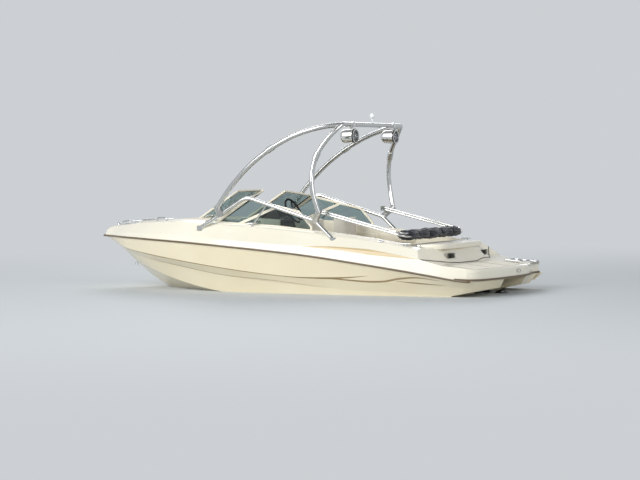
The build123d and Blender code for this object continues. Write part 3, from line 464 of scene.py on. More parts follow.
HULL_STRIPES = (
    # name, (x, z) along it, greatest width, share of the length over which its ends taper
    ("knuckle_pinstripe", ((2.66, 0.541), (2.30, 0.508), (1.993, 0.474), (1.62, 0.432),
                           (1.271, 0.390), (0.80, 0.334), (0.342, 0.282), (-0.146, 0.237),
                           (-0.42, 0.222)), 0.011, 0.25),
    ("upper_swoosh", ((-0.20, 0.228), (-0.55, 0.218), (-0.877, 0.219), (-1.12, 0.232),
                      (-1.393, 0.255)), 0.024, 0.45),
    ("long_swoosh", ((-0.60, 0.222), (-0.95, 0.208), (-1.325, 0.184), (-1.592, 0.188),
                     (-1.812, 0.226), (-2.072, 0.243), (-2.368, 0.208)), 0.022, 0.3),
    ("short_swoosh", ((-1.75, 0.196), (-2.05, 0.172), (-2.414, 0.148)), 0.016, 0.45),
    # painted shade: a thin dark line along the chine, where its flat faces down into shade
    ("chine_shade_line", ((2.24, 0.434), (1.588, 0.349), (0.797, 0.234), (0.0, 0.175),
                       (-0.8, 0.089)), 0.005, 0.3),
)
DECK_SHADE_STRIPES = (
    # painted shade: a tan band along the deck's side, standing in for the shade in its moulded
    # scallop
    ("deck_scallop_shade", ((-0.50, 0.620), (-0.90, 0.603), (-1.27, 0.572), (-1.54, 0.541),
                      (-1.80, 0.510), (-2.08, 0.474)), 0.066, 0.5),
)
# the joint between the riser and the platform, x and y from the centreline out to port
RISER_FOOT = ((-2.378, 0.0), (-2.372, 0.20), (-2.366, 0.42), (-2.357, 0.50), (-2.337, 0.60),
              (-2.302, 0.70), (-2.252, 0.80), (-2.207, 0.90), (-2.160, 1.0), (-2.137, 1.06),
              (-2.112, 1.093))
FOOT_SHADE_R, FOOT_SHADE_LIFT = 0.005, 0.003
STRIPE_LIFT = 0.0010
STRIPE_STEP = 0.006      # metres between the points across a stripe, so that it follows the skin


def add_stripes(stripes, material, skin):
    """Stripes laid on both sides, vinyl ones and bands of painted shade: each point is carried
    sideways onto the skin.
    """
    for name, path, wide, taper in stripes:
        line = curve_through(path, 120)
        along = np.linspace(0, 1, len(line))
        swell = np.clip(np.minimum(along, 1 - along) / taper, 0.04, 1) ** 0.7
        step = np.gradient(line, axis=0)
        across = np.stack([-step[:, 1], step[:, 0]], 1)
        across /= np.linalg.norm(across, axis=1)[:, None]
        columns = 3 + int(wide / STRIPE_STEP)
        edges = np.linspace(-0.5, 0.5, columns)[None, :, None] * (wide * swell)[:, None, None]
        flat = (line[:, None] + across[:, None] * edges).reshape(-1, 2)
        faces = grid_faces(len(line), columns)
        parts = []
        for side in (1, -1):
            hits = [skin.ray_cast((x, side * ABEAM, z), (0, -side, 0))[:2] for x, z in flat]
            rows = [np.array(spot) + np.array(way) * STRIPE_LIFT for spot, way in hits]
            parts.append((rows, faces if side > 0 else turned(faces)))
        add_piece(name, *joined(parts), material)


def add_riser_foot(skin):
    """A dark bead along the foot of the riser, painted shade of the groove there, laid from above
    on each side.
    """
    line = curve_through(RISER_FOOT, 80)
    line = np.concatenate([line[::-1], line[1:] * (1, -1)])
    spots = [laid(skin, x, y) for x, y in line]
    path = [(p[0], p[1], p[2] + FOOT_SHADE_LIFT) for p in spots]
    add_piece("riser_sealant", *tube(path, FOOT_SHADE_R, 10), MATERIALS["sealant"])


# Upholstery

PIPE_R = 0.0035
LOOP_OUT, LOOP_HITS = 0.06, 40
SEAT_Y = 0.48
BENCH_SEAMS = (-0.41, 0, 0.41)
PUFF_FORCE = 4.0
PUFF_FRAMES = 20
MERGE_WITHIN = 0.0002
SPARE_LOW, SPARE_HIGH = 0.002, (0.002, 0.002, 0.009)     # how far a cushion may pass its CAD box


def merged_copy(name, node):
    """A copy of a node's mesh with its doubled points merged."""
    mesh = nodes[node].data.copy()
    mesh.name = name
    tool = bmesh.new()
    tool.from_mesh(mesh)
    bmesh.ops.remove_doubles(tool, verts=tool.verts, dist=MERGE_WITHIN)
    tool.to_mesh(mesh)
    tool.free()
    piece = bpy.data.objects.new(name, mesh)
    show(piece)
    return piece


def settle(piece):
    """Apply a piece's modifiers to its mesh."""
    graph = bpy.context.evaluated_depsgraph_get()
    mesh = bpy.data.meshes.new_from_object(piece.evaluated_get(graph))
    piece.modifiers.clear()
    piece.data = mesh


def puff(piece, voxel, cap):
    """Swell a closed mesh as stuffed cloth, moving no point by more than the cap."""
    remesh = piece.modifiers.new("voxels", "REMESH")
    remesh.mode = "VOXEL"
    remesh.voxel_size = voxel
    settle(piece)
    count = len(piece.data.vertices)
    before = np.empty(count * 3)
    piece.data.vertices.foreach_get("co", before)
    before = before.reshape(-1, 3)
    cloth = piece.modifiers.new("cloth", "CLOTH")
    cloth.settings.use_pressure = True
    cloth.settings.uniform_pressure_force = PUFF_FORCE
    cloth.settings.effector_weights.gravity = 0
    for number in range(1, PUFF_FRAMES + 1):
        bpy.context.scene.frame_set(number)
    settle(piece)
    bpy.context.scene.frame_set(1)
    after = np.empty(count * 3)
    piece.data.vertices.foreach_get("co", after)
    move = after.reshape(-1, 3) - before
    length = np.linalg.norm(move, axis=1)[:, None]
    return before + move * np.minimum(1, cap / np.maximum(length, 1e-9))


def add_cushion(node, body, voxel, cap, seams=()):
    """A stuffed cushion in place of a plain CAD one, with sewn channels pressed in.

    Each seam is (axis, place, half width, push): points near the place on that axis move by
    push times exp(-(distance / half width)^2).
    """
    piece = merged_copy(node + "_upholstery", node)
    points = puff(piece, voxel, cap)
    for axis, place, wide, push in seams:
        near = np.exp(-((points[:, axis] - place) / wide) ** 2)
        points = points + near[:, None] * np.array(push)
    low, high = [np.array(corner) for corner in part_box(node)]
    points = np.clip(points, low - SPARE_LOW, high + SPARE_HIGH)
    piece.data.vertices.foreach_set("co", points.ravel())
    piece.data.materials.clear()
    piece.data.materials.append(MATERIALS["vinyl"])
    piece.data.polygons.foreach_set("use_smooth", [True] * len(piece.data.polygons))
    piece.data.update()
    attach(piece, body)
    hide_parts(node)
    return piece


def rounded_loop(half_a, half_b, count=96):
    """Points round a rounded rectangle, an oval of the fifth power."""
    turn = full_turn(count)
    way = np.stack([np.cos(turn), np.sin(turn)], 1)
    power = 5.0
    size = (np.abs(way[:, 0]) ** power + np.abs(way[:, 1]) ** power) ** (-1 / power)
    return way * size[:, None] * (half_a, half_b)


def add_piping(name, piece, loops, body):
    """Piping sewn round a cushion: each loop is cast inwards onto the cushion's skin.

    A loop is (flat axis, level, centre of the other two axes, their half sizes). It starts
    LOOP_OUT beyond the half sizes, and one with too few hits is left out.
    """
    mesh = piece.data
    tree = BVHTree.FromPolygons([v.co[:] for v in mesh.vertices],
                                [tuple(p.vertices) for p in mesh.polygons])
    parts = []
    for axis, level, centre, half in loops:
        others = [i for i in range(3) if i != axis]
        spots = rounded_loop(half[0] + LOOP_OUT, half[1] + LOOP_OUT)
        ring = []
        for spot in spots:
            start = np.zeros(3)
            start[axis] = level
            start[others[0]], start[others[1]] = centre[0] + spot[0], centre[1] + spot[1]
            target = np.zeros(3)
            target[axis] = level
            inward = spot * np.maximum(0, 1 - min(half) / np.linalg.norm(spot))
            target[others[0]], target[others[1]] = centre[0] + inward[0], centre[1] + inward[1]
            hit = tree.ray_cast(Vector(start), (Vector(target) - Vector(start)).normalized())[0]
            if hit is not None:
                ring.append(np.array(hit))
        if len(ring) > LOOP_HITS:
            parts.append(tube(ring, PIPE_R, 8, closed=True))
    add_piece(name, *joined(parts), MATERIALS["piping_vinyl"], body)


def upholster():
    """All cushions with their piping."""
    for side, place in (("helm", -SEAT_Y), ("passenger", SEAT_Y)):
        body = side + "_seat"
        lines = [(1, place + step, 0.010, (0.0, 0, -0.006)) for step in (-0.085, 0.085)]
        piece = add_cushion(side + "_seat_cushions", body, 0.008, 0.010, lines)
        add_piping(side + "_seat_piping", piece,
                   [(2, 0.524, (-0.15, place), (0.205, 0.205)),
                    (0, -0.282, (place, 0.742), (0.200, 0.190))], body)
    lines = [(1, y, 0.012, (0, 0, -0.010)) for y in BENCH_SEAMS]
    bench = add_cushion("bench_cushion", "root", 0.012, 0.016, lines)
    add_piping("bench_piping", bench, [(2, 0.432, (-1.4925, 0), (0.24, 0.81))], "root")
    lines = [(1, y, 0.012, (-0.010, 0, 0)) for y in BENCH_SEAMS]
    rest = add_cushion("bench_backrest", "root", 0.012, 0.014, lines)
    add_piping("bench_rest_piping", rest, [(0, -1.762, (0, 0.465), (0.81, 0.095))], "root")
    add_cushion("bow_cushions", "root", 0.012, 0.010,
                [(0, x, 0.012, (0, 0, -0.006)) for x in (1.56, 1.86)])


BUNDLE_AT = (-1.760, 0.762)      # middle of the furled canvas, x and z
BUNDLE_HALF = (0.121, 0.068)     # half its depth and height where it is fullest
BUNDLE_END = 0.790
STRAPS_AT = (-0.52, -0.17, 0.21, 0.55)
STRAP_HALF = 0.019
BOOT_ROWS, BOOT_COLUMNS = 260, 120


def bundle_skin(y, a, lift=0.0):
    """Points on the furled canvas at y and at the angle a round it.

    Its section is a flattened oval: half depth * cos and half height * sin of the angle. The
    size falls at each strap as 1 - 0.13 exp(-(distance / 45 mm)^2), differs from bay to bay by
    slow sines, and closes at the ends as a quarter ellipse. Pleats are sines of 5, 11 and 19 to
    the turn whose phase drifts with y, strong between the straps and pressed flat under them.
    The whole roll sags a little between its straps.
    """
    grip = sum(np.exp(-((y - at) / 0.045) ** 2) for at in STRAPS_AT)
    size = (1 - 0.13 * grip) * (0.93 + 0.05 * np.sin(9 * y + 0.8) + 0.03 * np.sin(23 * y))
    closing = np.clip((BUNDLE_END - np.abs(y)) / 0.05, 0, 1)
    size = size * (0.12 + 0.88 * np.sqrt(1 - (1 - closing) ** 2))
    loose = (1 - 0.85 * grip) * np.minimum(1, closing + 0.3)
    pleats = (0.10 * np.sin(5 * a + 5 * y + 1.2 * np.sin(4 * y))
              + 0.055 * np.sin(11 * a - 13 * y + 0.7) + 0.025 * np.sin(19 * a + 27 * y))
    pleats = 1.1 * np.abs(pleats + 0.02) - 0.075
    share = size * (1 + pleats * loose)
    x = BUNDLE_AT[0] + (BUNDLE_HALF[0] * share + lift) * np.cos(a)
    z = BUNDLE_AT[1] + (BUNDLE_HALF[1] * share + lift) * np.sin(a) - 0.006 * (1 - grip)
    return np.stack([x, y + 0 * a, z], -1)


def add_boot():
    """The furled bimini's canvas as one pleated roll, pinched by webbing straps."""
    turn = full_turn(BOOT_COLUMNS)
    y, a = np.meshgrid(np.linspace(-BUNDLE_END, BUNDLE_END, BOOT_ROWS), turn, indexing="ij")
    verts = bundle_skin(y, a).reshape(-1, 3)
    faces = turned(capped_faces(BOOT_ROWS, BOOT_COLUMNS))
    boot = add_piece("bimini_canvas_roll", verts, faces, MATERIALS["canvas"], "bimini")
    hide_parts("bimini_boot")
    straps = []
    section = ((-STRAP_HALF, 0.0005), (STRAP_HALF, 0.0005), (STRAP_HALF, 0.0030),
               (-STRAP_HALF, 0.0030))
    for at in STRAPS_AT:
        rings = [bundle_skin(at + step + 0 * turn, turn, lift) for step, lift in section]
        straps.append((np.concatenate(rings), grid_faces(len(section), BOOT_COLUMNS, True, True)))
        top = bundle_skin(np.array([at]), np.array([0.5 * math.pi]), 0.004)[0]
        straps.append(brick(top, (0.034, 0.046, 0.008)))
    add_piece("canvas_straps", *joined(straps), MATERIALS["strap_webbing"], "bimini", smooth=False)


# Windshield

POST_Y, SIDE_Y = 0.320, 0.900
BASE, TOP = (1.130, 0.945), (0.540, 1.305)
CORNER_BASE, CORNER_TOP = (0.900, 0.925), (0.420, 1.232)
BAR, TOP_BAR = 0.034, 0.016
SLOPE = 0.69                # length of a front pane up its slope
GASKET_R, GASKET_OUT = 0.0035, 0.0045
TRIM_Y, TRIM_FORE_X, TRIM_AFT_X = 0.945, 0.95, -0.60
SCREW = ((0.006, -0.002), (0.006, 0.0012), (0.003, 0.0028), (0, 0.003))
SCREW_OUT = 0.011


def raked(y, share):
    """A point in the plane of the raked front glass."""
    out = (y - POST_Y) / (SIDE_Y - POST_Y)
    base = [a + out * (b - a) for a, b in zip(BASE, CORNER_BASE)]
    top = [a + out * (b - a) for a, b in zip(TOP, CORNER_TOP)]
    return np.array([base[0] + share * (top[0] - base[0]), y, base[1] + share * (top[1] - base[1])])


def add_windshield_trim(deck_tree):
    """Rubber gaskets round the front panes, the white trim along the foot, and screws."""
    parts = []
    low, high = BAR / SLOPE, 1 - TOP_BAR / SLOPE
    corners = [raked(POST_Y + BAR, low), raked(SIDE_Y - BAR, low),
               raked(SIDE_Y - BAR, high), raked(POST_Y + BAR, high)]
    lean = corners[3] - corners[0]
    out = np.array([lean[2], 0, -lean[0]]) / np.linalg.norm(lean)
    for way in (-1, 1):
        loop = []
        for a, b in zip(corners, corners[1:] + corners[:1]):
            loop += [a + (b - a) * t + out * way * GASKET_OUT for t in np.linspace(0, 1, 12)[:-1]]
        parts.append(tube(loop, GASKET_R, 8, True))
    add_piece("front_gaskets", *mirrored(joined(parts)), MATERIALS["gasket_rubber"])
    spots = []
    for x in np.linspace(TRIM_FORE_X, TRIM_AFT_X, 60):
        spots.append((x, TRIM_Y, laid(deck_tree, x, TRIM_Y)[2] + 0.003))
    add_piece("windshield_foot_trim", *mirrored(tube(spots, 0.009, 10)),
              MATERIALS["white_acrylic"])
    screws = []
    for t in np.linspace(0.06, 0.94, 8):
        for y in (POST_Y + BAR / 2, SIDE_Y - BAR / 2):
            screws.append(lathe(SCREW, raked(y, t) + out * SCREW_OUT, out, 12))
    add_piece("frame_screws", *mirrored(joined(screws)), MATERIALS["stainless"])


# Tower

def dome(place, axis, radius):
    """A domed bolt head."""
    return lathe([(radius, -0.002), (radius, 0.25 * radius), (0.7 * radius, 0.62 * radius),
                  (0.35 * radius, 0.78 * radius), (0, 0.82 * radius)], place, axis, 14)


def add_speaker(name, place, axis, size):
    """A pair of speaker fronts: cone and dust cap, rubber rim, and a grille of rings and spokes."""
    axis = np.array(axis, float)
    cone = lathe([(0.000, 0.022), (0.022 * size, 0.020), (0.028 * size, 0.026),
                  (0.064 * size, 0.010), (0.078 * size, 0.0125), (0.0785 * size, 0.016),
                  (0, 0.030)], place, axis, 40)
    rim = lathe([(0.079 * size, 0.0135), (0.079 * size, 0.006), (0.084 * size, 0.001),
                 (0.0935 * size, 0.001), (0.0945 * size, 0.004), (0.0945 * size, 0.018)],
                place, axis, 48)
    side = np.cross(axis, (0, 0, 1.0))
    up = np.cross(side, axis)
    middle = np.array(place) + axis * 0.0045
    turn = full_turn(40)[:, None]
    round_ = np.cos(turn) * side + np.sin(turn) * up
    wires = [tube(middle + round_ * share * size, 0.0014, 6, True)
             for share in (0.016, 0.030, 0.044, 0.058, 0.072)]
    for spoke in round_[:20:3] * 0.08 * size:
        wires.append(tube([middle - spoke, middle + spoke], 0.0016, 6))
    add_piece(name + "_cones", *mirrored(cone), MATERIALS["cone_paper"])
    add_piece(name + "_rims", *mirrored(rim), MATERIALS["gasket_rubber"])
    add_piece(name + "_grilles", *mirrored(joined(wires)), MATERIALS["stainless"])


FOOT_BOLTS = ((1.100, 0.870), (-0.860, 0.730))      # x and z of the base tubes' feet
FOOT_Y, BOLT_CIRCLE_R = 1.0, 0.037
CLAMP_BOLTS = (     # middle of a clamp's two bolts, and the way they point
    ((0.800, 1.068, 1.07), (0.15, 0.9, -0.4)),
    ((-0.668, 1.094, 1.01), (-0.5, 0.8, -0.3)),
)
CLAMP_BOLT_STEP = 0.028
LAMP_AT = (-0.945, 0, 2.165)


def add_tower_details():
    """Foot bolts, clamp bolts, the speakers' fronts and the lamp's globe."""
    bolts = []
    for x, z in FOOT_BOLTS:
        for turn in (45, 135, 225, 315):
            c, s = math.cos(math.radians(turn)), math.sin(math.radians(turn))
            bolts.append(dome((x + BOLT_CIRCLE_R * c, FOOT_Y + BOLT_CIRCLE_R * s, z), (0, 0, 1),
                              0.0065))
    for (x, y, z), way in CLAMP_BOLTS:
        for step in (-CLAMP_BOLT_STEP, CLAMP_BOLT_STEP):
            bolts.append(dome((x + step, y, z), way, 0.008))
    add_piece("tower_bolts", *mirrored(joined(bolts)), MATERIALS["stainless"])
    add_speaker("tower_speaker", (-1.0025, 0.607, 2.017), (1, 0, 0), 1.0)
    lens = lathe([(0.0, 0.094), (0.020, 0.095), (0.028, 0.101), (0.031, 0.112), (0.031, 0.130),
                  (0.027, 0.141), (0.018, 0.149), (0, 0.152)], LAMP_AT, (0, 0, 1), 28)
    add_piece("light_lens", *lens, MATERIALS["clear_lens"])


# Deck, platform and cockpit

def patch(tree, corners, rows, columns, lift):
    """A thin skin laid on a surface from above, over a quadrilateral of (x, y) corners."""
    a, b, c, d = [np.array(p, float) for p in corners]
    verts = []
    for u in np.linspace(0, 1, rows):
        for v in np.linspace(0, 1, columns):
            x, y = (a * (1 - u) + b * u) * (1 - v) + (d * (1 - u) + c * u) * v
            verts.append((x, y, laid(tree, x, y)[2] + lift))
    return verts, turned(grid_faces(rows, columns))


NONSKID_ACROSS = ((-0.98, -0.80), (-0.47, -0.02), (0.02, 0.47), (0.50, 0.98))
NONSKID_AFT_X, NONSKID_FORE_X = -2.86, -2.46
NONSKID_STEP_Y, NONSKID_STEP = 0.7, 0.06    # beyond this y the platform's edge curves forward


def add_deck_details(deck_tree, platform_tree):
    """Nonskid panels, vent louvres, bow light and fuel filler."""
    pads = []
    for y0, y1 in NONSKID_ACROSS:
        aft = [NONSKID_AFT_X + NONSKID_STEP * (abs(y) > NONSKID_STEP_Y) for y in (y0, y1)]
        corners = ((aft[0], y0), (NONSKID_FORE_X, y0), (NONSKID_FORE_X, y1), (aft[1], y1))
        pads.append(patch(platform_tree, corners, 12, 16, 0.0012))
    add_piece("platform_nonskid", *joined(pads), MATERIALS["nonskid"])
    louvres = []
    for step in range(4):
        louvres.append(brick((-2.285, 0.535, 0.472 + 0.015 * step), (0.030, 0.204, 0.004), 0.5))
    add_piece("vent_louvres", *mirrored(joined(louvres)), MATERIALS["louvre_plastic"])
    light = lathe([(0.030, -0.01), (0.030, 0.006), (0.024, 0.016), (0.020, 0.030), (0.0, 0.034)],
                  laid(deck_tree, 3.03, 0), (0, 0, 1), 24)
    add_piece("bow_light", *light, MATERIALS["stainless"])
    cap = lathe([(0.042, -0.004), (0.042, 0.004), (0.036, 0.007), (0.030, 0.0075),
                 (0.029, 0.004), (0.0, 0.004)], laid(deck_tree, -1.50, 0.95), (0, 0.25, 1), 28)
    add_piece("fuel_filler", *cap, MATERIALS["stainless"])


POD_FACE = ((0.580, 0.850), (0.630, 0.990))     # the instrument face, x and z of its edges


GAUGES = (
    # y, share of the way up the face, radius
    (-0.55, 0.60, 0.040), (-0.41, 0.60, 0.040), (-0.625, 0.52, 0.024), (-0.48, 0.70, 0.022),
    (-0.335, 0.52, 0.024),
)
SWITCHES, SWITCH_Y, SWITCH_STEP, SWITCH_SHARE = 6, -0.58, 0.04, 0.16
NEEDLE_OUT = 0.0038


def add_dash():
    """Gauges with their rims and needles, and a row of switches under them."""
    low, high = [np.array((x, 0, z)) for x, z in POD_FACE]
    up = (high - low) / np.linalg.norm(high - low)
    out = np.array([-up[2], 0, up[0]])
    dials, rims, hands, keys = [], [], [], []
    for y, share, radius in GAUGES:
        middle = low + (high - low) * share + (0, y, 0)
        dials.append(lathe([(radius * 0.88, -0.004), (radius * 0.88, 0.003), (0, 0.003)],
                           middle, out, 32))
        rims.append(lathe([(radius, -0.004), (radius, 0.004), (radius * 0.95, 0.0065),
                           (radius * 0.88, 0.0045), (radius * 0.88, 0.001)], middle, out, 32))
        start = middle + out * NEEDLE_OUT
        hands.append(tube([start, start + up * radius * 0.55 + np.array((0, radius * 0.4, 0))],
                          0.0011, 6))
        hands.append(lathe([(0.004, 0.002), (0.004, 0.0055), (0, 0.006)], middle, out, 12))
    for step in range(SWITCHES):
        spot = low + (high - low) * SWITCH_SHARE + (0, SWITCH_Y + SWITCH_STEP * step, 0)
        keys.append(lathe([(0.011, -0.003), (0.011, 0.003), (0.008, 0.007), (0, 0.0075)],
                          spot, out, 16))
    add_piece("gauge_dials", *joined(dials), MATERIALS["dial_black"])
    add_piece("gauge_rims", *joined(rims), MATERIALS["stainless"])
    add_piece("gauge_hands", *joined(hands), MATERIALS["needle_paint"])
    add_piece("dash_switches", *joined(keys), MATERIALS["gasket_rubber"])


THROTTLE_X, THROTTLE_Y = 0.30, -0.828      # its box on the starboard coaming
KNOB_X, KNOB_Z = 0.262, 0.85


def add_throttle():
    """The throttle: a box, a hub, a bent lever and its knob."""
    x, y = THROTTLE_X, THROTTLE_Y
    base = brick((x, y + 0.012, 0.690), (0.11, 0.026, 0.15))
    hub = lathe([(0.030, 0), (0.030, 0.020), (0.024, 0.028), (0, 0.029)], (x, y + 0.024, 0.70),
                (0, 1, 0), 24)
    lever = tube(curve_through([(x, y + 0.045, 0.70), (0.29, y + 0.055, 0.76),
                                (0.27, y + 0.058, 0.82), (KNOB_X, y + 0.058, KNOB_Z)], 14), 0.007)
    knob = lathe([(0.008, -0.012), (0.016, -0.004), (0.019, 0.01), (0.016, 0.026), (0, 0.034)],
                 (KNOB_X, y + 0.058, KNOB_Z), (-0.2, 0, 1), 20)
    rounded(add_piece("throttle_box", *base, MATERIALS["gasket_rubber"], smooth=False), 0.008)
    add_piece("throttle_lever", *joined([hub, lever]), MATERIALS["stainless"])
    add_piece("throttle_knob", *knob, MATERIALS["gasket_rubber"])


PADS = ((-1.18, -0.62), (-0.60, -0.06), (-0.04, 0.20))      # the ends of each in x
PAD_Y, PAD_Z = 0.828, 0.655
PAD_DEEP, PAD_TALL = 0.028, 0.075
PAD_POINTS = 40


def add_coaming_pads():
    """Stuffed pads along the cockpit's sides.

    Each is a row of rings along x. At the angle a round a ring, a point stands off the side by
    the depth times the cosine, never under -0.1, and off the middle by the height times the
    sine, its size raised to 0.7. Both shrink at the ends with (1 - (2u - 1)^8)^0.5, where u is
    the share of the length.
    """
    pads = []
    for x0, x1 in PADS:
        u, a = np.meshgrid(np.linspace(0, 1, PAD_POINTS), full_turn(PAD_POINTS), indexing="ij")
        swell = (1 - (2 * u - 1) ** 8) ** 0.5
        depth = PAD_DEEP * np.maximum(np.cos(a), -0.1) * (0.55 + 0.45 * swell)
        tall = PAD_TALL * np.sign(np.sin(a)) * np.abs(np.sin(a)) ** 0.7
        tall = tall * np.maximum(swell, 0.02) ** 0.35
        y = PAD_Y - np.maximum(depth, -0.004) * np.maximum(swell, 0.05)
        verts = np.stack([x0 + (x1 - x0) * u, y, PAD_Z + tall], -1).reshape(-1, 3)
        pads.append((verts, turned(capped_faces(PAD_POINTS, PAD_POINTS))))
    piece = add_piece("coaming_pads", *mirrored(joined(pads)), MATERIALS["vinyl"])


MATS = ((-1.215, 0.57, 0.80), (0.57, 1.18, 0.25), (1.25, 1.97, 0.235))     # x0, x1, half width
MAT_Z, MAT_THICK = 0.1325, 0.005


def add_sole_mat():
    """A woven mat on the sole, the walkway and the bow well."""
    mats = [brick(((x0 + x1) / 2, 0, MAT_Z), (x1 - x0, 2 * half, MAT_THICK))
            for x0, x1, half in MATS]
    mat = add_piece("sole_mat", *joined(mats), MATERIALS["sole_mat"], smooth=False)
    rounded(mat, 0.002, 1)


SEAM_R = 0.003
GLOVE_Y, GLOVE_Z = 0.560, 0.790
HANDLE_X = 0.655
HANDLE = ((0.43, 0.912), (0.435, 0.940), (0.470, 0.952), (0.560, 0.953), (0.650, 0.952),
          (0.685, 0.940), (0.690, 0.912))       # y and z along it
DRINKS = ((0.665, 0.365, 0.917), (0.665, 0.765, 0.911))
LOCKER_AT, LOCKER_HALF = (-0.06, 0.0), (0.48, 0.185)
BOW_LID_AT, BOW_LID_HALF = (2.795, 0.0), (0.105, 0.125)


def seam_loop(tree, centre, half, lift):
    """A thin seam round a rounded rectangle, laid on a surface from above."""
    hits = [laid(tree, x, y) for x, y in rounded_loop(*half) + centre]
    return tube([(p[0], p[1], p[2] + lift) for p in hits], SEAM_R, 6, True)


def add_interior_details(deck_tree):
    """Glove box, grab handle, drink holders, cockpit speakers, and lids in sole and bow deck."""
    seams = [brick((0.5975, GLOVE_Y, GLOVE_Z), (0.006, 0.412, 0.142))]
    lid = add_piece("glove_box_lid", *brick((0.592, GLOVE_Y, GLOVE_Z), (0.012, 0.400, 0.130)),
                    MATERIALS["liner_gelcoat"], smooth=False)
    rounded(lid, 0.004)
    bright = [lathe([(0.016, -0.002), (0.016, 0.004), (0.010, 0.008), (0, 0.009)],
                    (0.586, GLOVE_Y, 0.745), (-1, 0, 0), 24)]
    bright.append(tube(curve_through([(HANDLE_X, y, z) for y, z in HANDLE], 60), 0.009, 12))
    for y in (0.430, 0.690):
        bright.append(lathe([(0.020, 0.0), (0.020, 0.003), (0.012, 0.007), (0, 0.007)],
                            (HANDLE_X, y, 0.911), (0, 0, 1), 20))
    wells = []
    for spot in DRINKS:
        bright.append(lathe([(0.038, 0.0), (0.044, 0.001), (0.044, 0.005), (0.038, 0.006),
                             (0.036, 0.004), (0.036, 0.0)], spot, (0, 0, 1), 32))
        wells.append(lathe([(0.037, 0.0), (0.037, 0.0035), (0, 0.0035)], spot, (0, 0, 1), 32))
    seams.append(seam_loop(tree_of("cockpit_sole"), LOCKER_AT, LOCKER_HALF, 0.0062))
    for x in (-0.46, 0.34):
        bright.append(lathe([(0.024, 0.0), (0.024, 0.0025), (0.019, 0.003), (0.018, 0.001),
                             (0.0, 0.001)], (x, 0.0, 0.1352), (0, 0, 1), 28))
    seams.append(seam_loop(deck_tree, BOW_LID_AT, BOW_LID_HALF, 0.0005))
    add_piece("lid_seams", *joined(seams), MATERIALS["gasket_rubber"])
    add_piece("cockpit_brightwork", *joined(bright), MATERIALS["stainless"])
    add_piece("drink_wells", *joined(wells), MATERIALS["dial_black"])
    add_speaker("cockpit_speaker", (-1.060, 0.830, 0.330), (0, -1, 0), 0.85)


WHEEL_AT = (0.500, -0.480, 1.030)
WHEEL_RAKE = 28             # degrees that its face leans back
WHEEL_R, GRIP_R = 0.175, 0.0142
STITCHES = 24


def add_wheel_trim():
    """The wheel's centre cap, and the stitches round its grip."""
    tilt = math.radians(WHEEL_RAKE - 90)
    axis = np.array([math.sin(tilt), 0, math.cos(tilt)])
    middle = np.array(WHEEL_AT)
    cap = lathe([(0.043, 0.0), (0.043, 0.006), (0.036, 0.012), (0.020, 0.015), (0, 0.016)],
                middle - axis * 0.001, axis, 32)
    add_piece("wheel_cap", *cap, MATERIALS["stainless"], "steering_wheel")
    side = np.cross(axis, (0, 1, 0))
    seams = []
    for turn in full_turn(STITCHES):
        spoke = math.cos(turn) * side + math.sin(turn) * np.array((0, 1, 0))
        spot = middle + spoke * WHEEL_R
        ring = [spot + GRIP_R * (math.cos(t) * spoke + math.sin(t) * axis) for t in full_turn(16)]
        seams.append(tube(ring, 0.0009, 5, True))
    add_piece("wheel_stitches", *joined(seams), MATERIALS["stitch_thread"], "steering_wheel")


TRIM_REST = 20              # degrees that the leg is trimmed up at rest
TILT_X, TILT_Z = -2.572, -0.120
NUT_AT = (-0.411, 0, -0.500)        # in the leg's own frame, before the trim
COVER_BOLTS = ((-0.155, 0.06), (-0.245, 0.06), (-0.155, -0.09), (-0.245, -0.09))
COVER_Y = 0.083
GIMBAL_X, GIMBAL_Y = -2.480, 0.165


def add_drive_details():
    """The propeller's nut, and the bolts of the drive's covers and of the gimbal housing."""
    turn = math.radians(TRIM_REST)
    spin = np.array([math.cos(turn), 0, -math.sin(turn)])

    def tilted(x, y, z):
        return np.array([TILT_X + x * math.cos(turn) + z * math.sin(turn), y,
                         TILT_Z - x * math.sin(turn) + z * math.cos(turn)])

    nut = lathe([(0.026, 0.0), (0.026, 0.012), (0.016, 0.016), (0.014, 0.034), (0, 0.038)],
                tilted(*NUT_AT), -spin, 6)
    add_piece("propeller_nut", *nut, MATERIALS["stainless"], "propeller", smooth=False)
    bolts = []
    for y in (-COVER_Y, COVER_Y):
        for x, z in COVER_BOLTS:
            bolts.append(dome(tilted(x, y, z), (0, np.sign(y), 0), 0.008))
    add_piece("drive_bolts", *joined(bolts), MATERIALS["stainless"], "drive")
    bolts = []
    for y in (-GIMBAL_Y, GIMBAL_Y):
        for z in (-0.15, -0.05, 0.05, 0.15):
            bolts.append(dome((GIMBAL_X, y, TILT_Z + z), (-1, 0, 0), 0.009))
    add_piece("transom_bolts", *joined(bolts), MATERIALS["stainless"])


# Floor and light

BACK_COLOUR = "#E4E8EC"
BACK_LIGHT = 0.78
ZENITH_LIGHT = 0.42                     # dimmer overhead, so that metal has dark to mirror
DIM_FROM, DIM_TO = 0.15, 0.75           # heights on the unit sphere over which the world dims
FLOOR_COLOUR = "#BFC4C7"
FLOOR_NEAR, FLOOR_FAR = 3.5, 14.0       # metres over which the floor melts into the backdrop
FLOOR_HALF = 80
LAMP_AIM = (0, 0, 0.6)
# name, place, power in watts, width
LAMPS = (("key", (8, 20, 13), 5000, 18), ("fill", (-17, 10, 8), 900, 9),
         ("back", (8, -15, 10), 1100, 9))


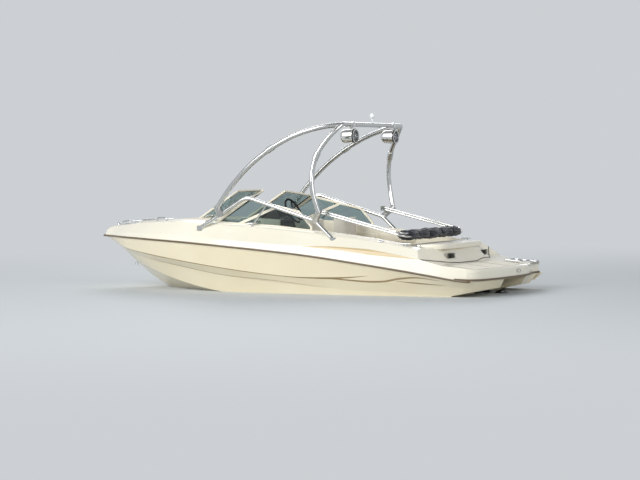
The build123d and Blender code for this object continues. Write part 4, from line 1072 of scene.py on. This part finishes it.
def add_stage():
    """A pale floor at the waterline that melts into a pale world, and soft lamps."""
    mesh = bpy.data.meshes.new("floor")
    corners = [(x * FLOOR_HALF, y * FLOOR_HALF, 0) for x, y in ((-1, -1), (1, -1), (1, 1), (-1, 1))]
    mesh.from_pydata(corners, [], [(0, 1, 2, 3)])
    floor = bpy.data.objects.new("floor", mesh)
    show(floor)
    material, tree, shader = new_material("floor")
    give(shader, Base_Color=linear(FLOOR_COLOUR), Roughness=0.7)
    where = put(tree, "ShaderNodeTexCoord").outputs["Object"]
    away = put(tree, "ShaderNodeVectorMath", {"operation": "LENGTH"}, i0=where).outputs["Value"]
    share = put(tree, "ShaderNodeMapRange", {"interpolation_type": "SMOOTHSTEP"}, Value=away,
                From_Min=FLOOR_NEAR, From_Max=FLOOR_FAR)
    glow = put(tree, "ShaderNodeEmission", Color=linear(BACK_COLOUR), Strength=BACK_LIGHT)
    mix = put(tree, "ShaderNodeMixShader", Fac=share.outputs[0], i1=shader.outputs[0],
              i2=glow.outputs[0])
    out = next(n for n in tree.nodes if n.bl_idname == "ShaderNodeOutputMaterial")
    tree.links.new(mix.outputs[0], out.inputs["Surface"])
    mesh.materials.append(material)
    world = bpy.data.worlds.new("studio")
    bpy.context.scene.world = world
    world.use_nodes = True
    back = world.node_tree.nodes["Background"]
    back.inputs[0].default_value = linear(BACK_COLOUR)
    way = put(world.node_tree, "ShaderNodeTexCoord").outputs["Generated"]
    height = put(world.node_tree, "ShaderNodeSeparateXYZ", Vector=way).outputs["Z"]
    light = put(world.node_tree, "ShaderNodeMapRange", {"interpolation_type": "SMOOTHSTEP"},
                Value=height, From_Min=DIM_FROM, From_Max=DIM_TO, To_Min=BACK_LIGHT,
                To_Max=ZENITH_LIGHT)
    world.node_tree.links.new(light.outputs[0], back.inputs[1])
    for name, place, power, wide in LAMPS:
        data = bpy.data.lights.new(name, "AREA")
        data.energy = power
        data.size = wide
        lamp = bpy.data.objects.new(name, data)
        lamp.location = place
        aim = Vector(LAMP_AIM) - Vector(place)
        lamp.rotation_euler = aim.to_track_quat("-Z", "Y").to_euler()
        show(lamp)


bpy.context.scene.view_settings.view_transform = "Standard"
add_camera()
dress_nodes()
skin_tree = tree_of("hull", "deck", "swim_platform")
top_tree = tree_of("deck")
stern_tree = tree_of("swim_platform")
add_stripes(HULL_STRIPES, MATERIALS["stripe_vinyl_and_chine_shade"], skin_tree)
add_stripes(DECK_SHADE_STRIPES, MATERIALS["scallop_painted_shade"], skin_tree)
add_riser_foot(skin_tree)
upholster()
add_boot()
add_windshield_trim(top_tree)
add_tower_details()
add_deck_details(top_tree, stern_tree)
add_dash()
add_throttle()
add_coaming_pads()
add_sole_mat()
add_interior_details(top_tree)
add_wheel_trim()
add_drive_details()
add_stage()
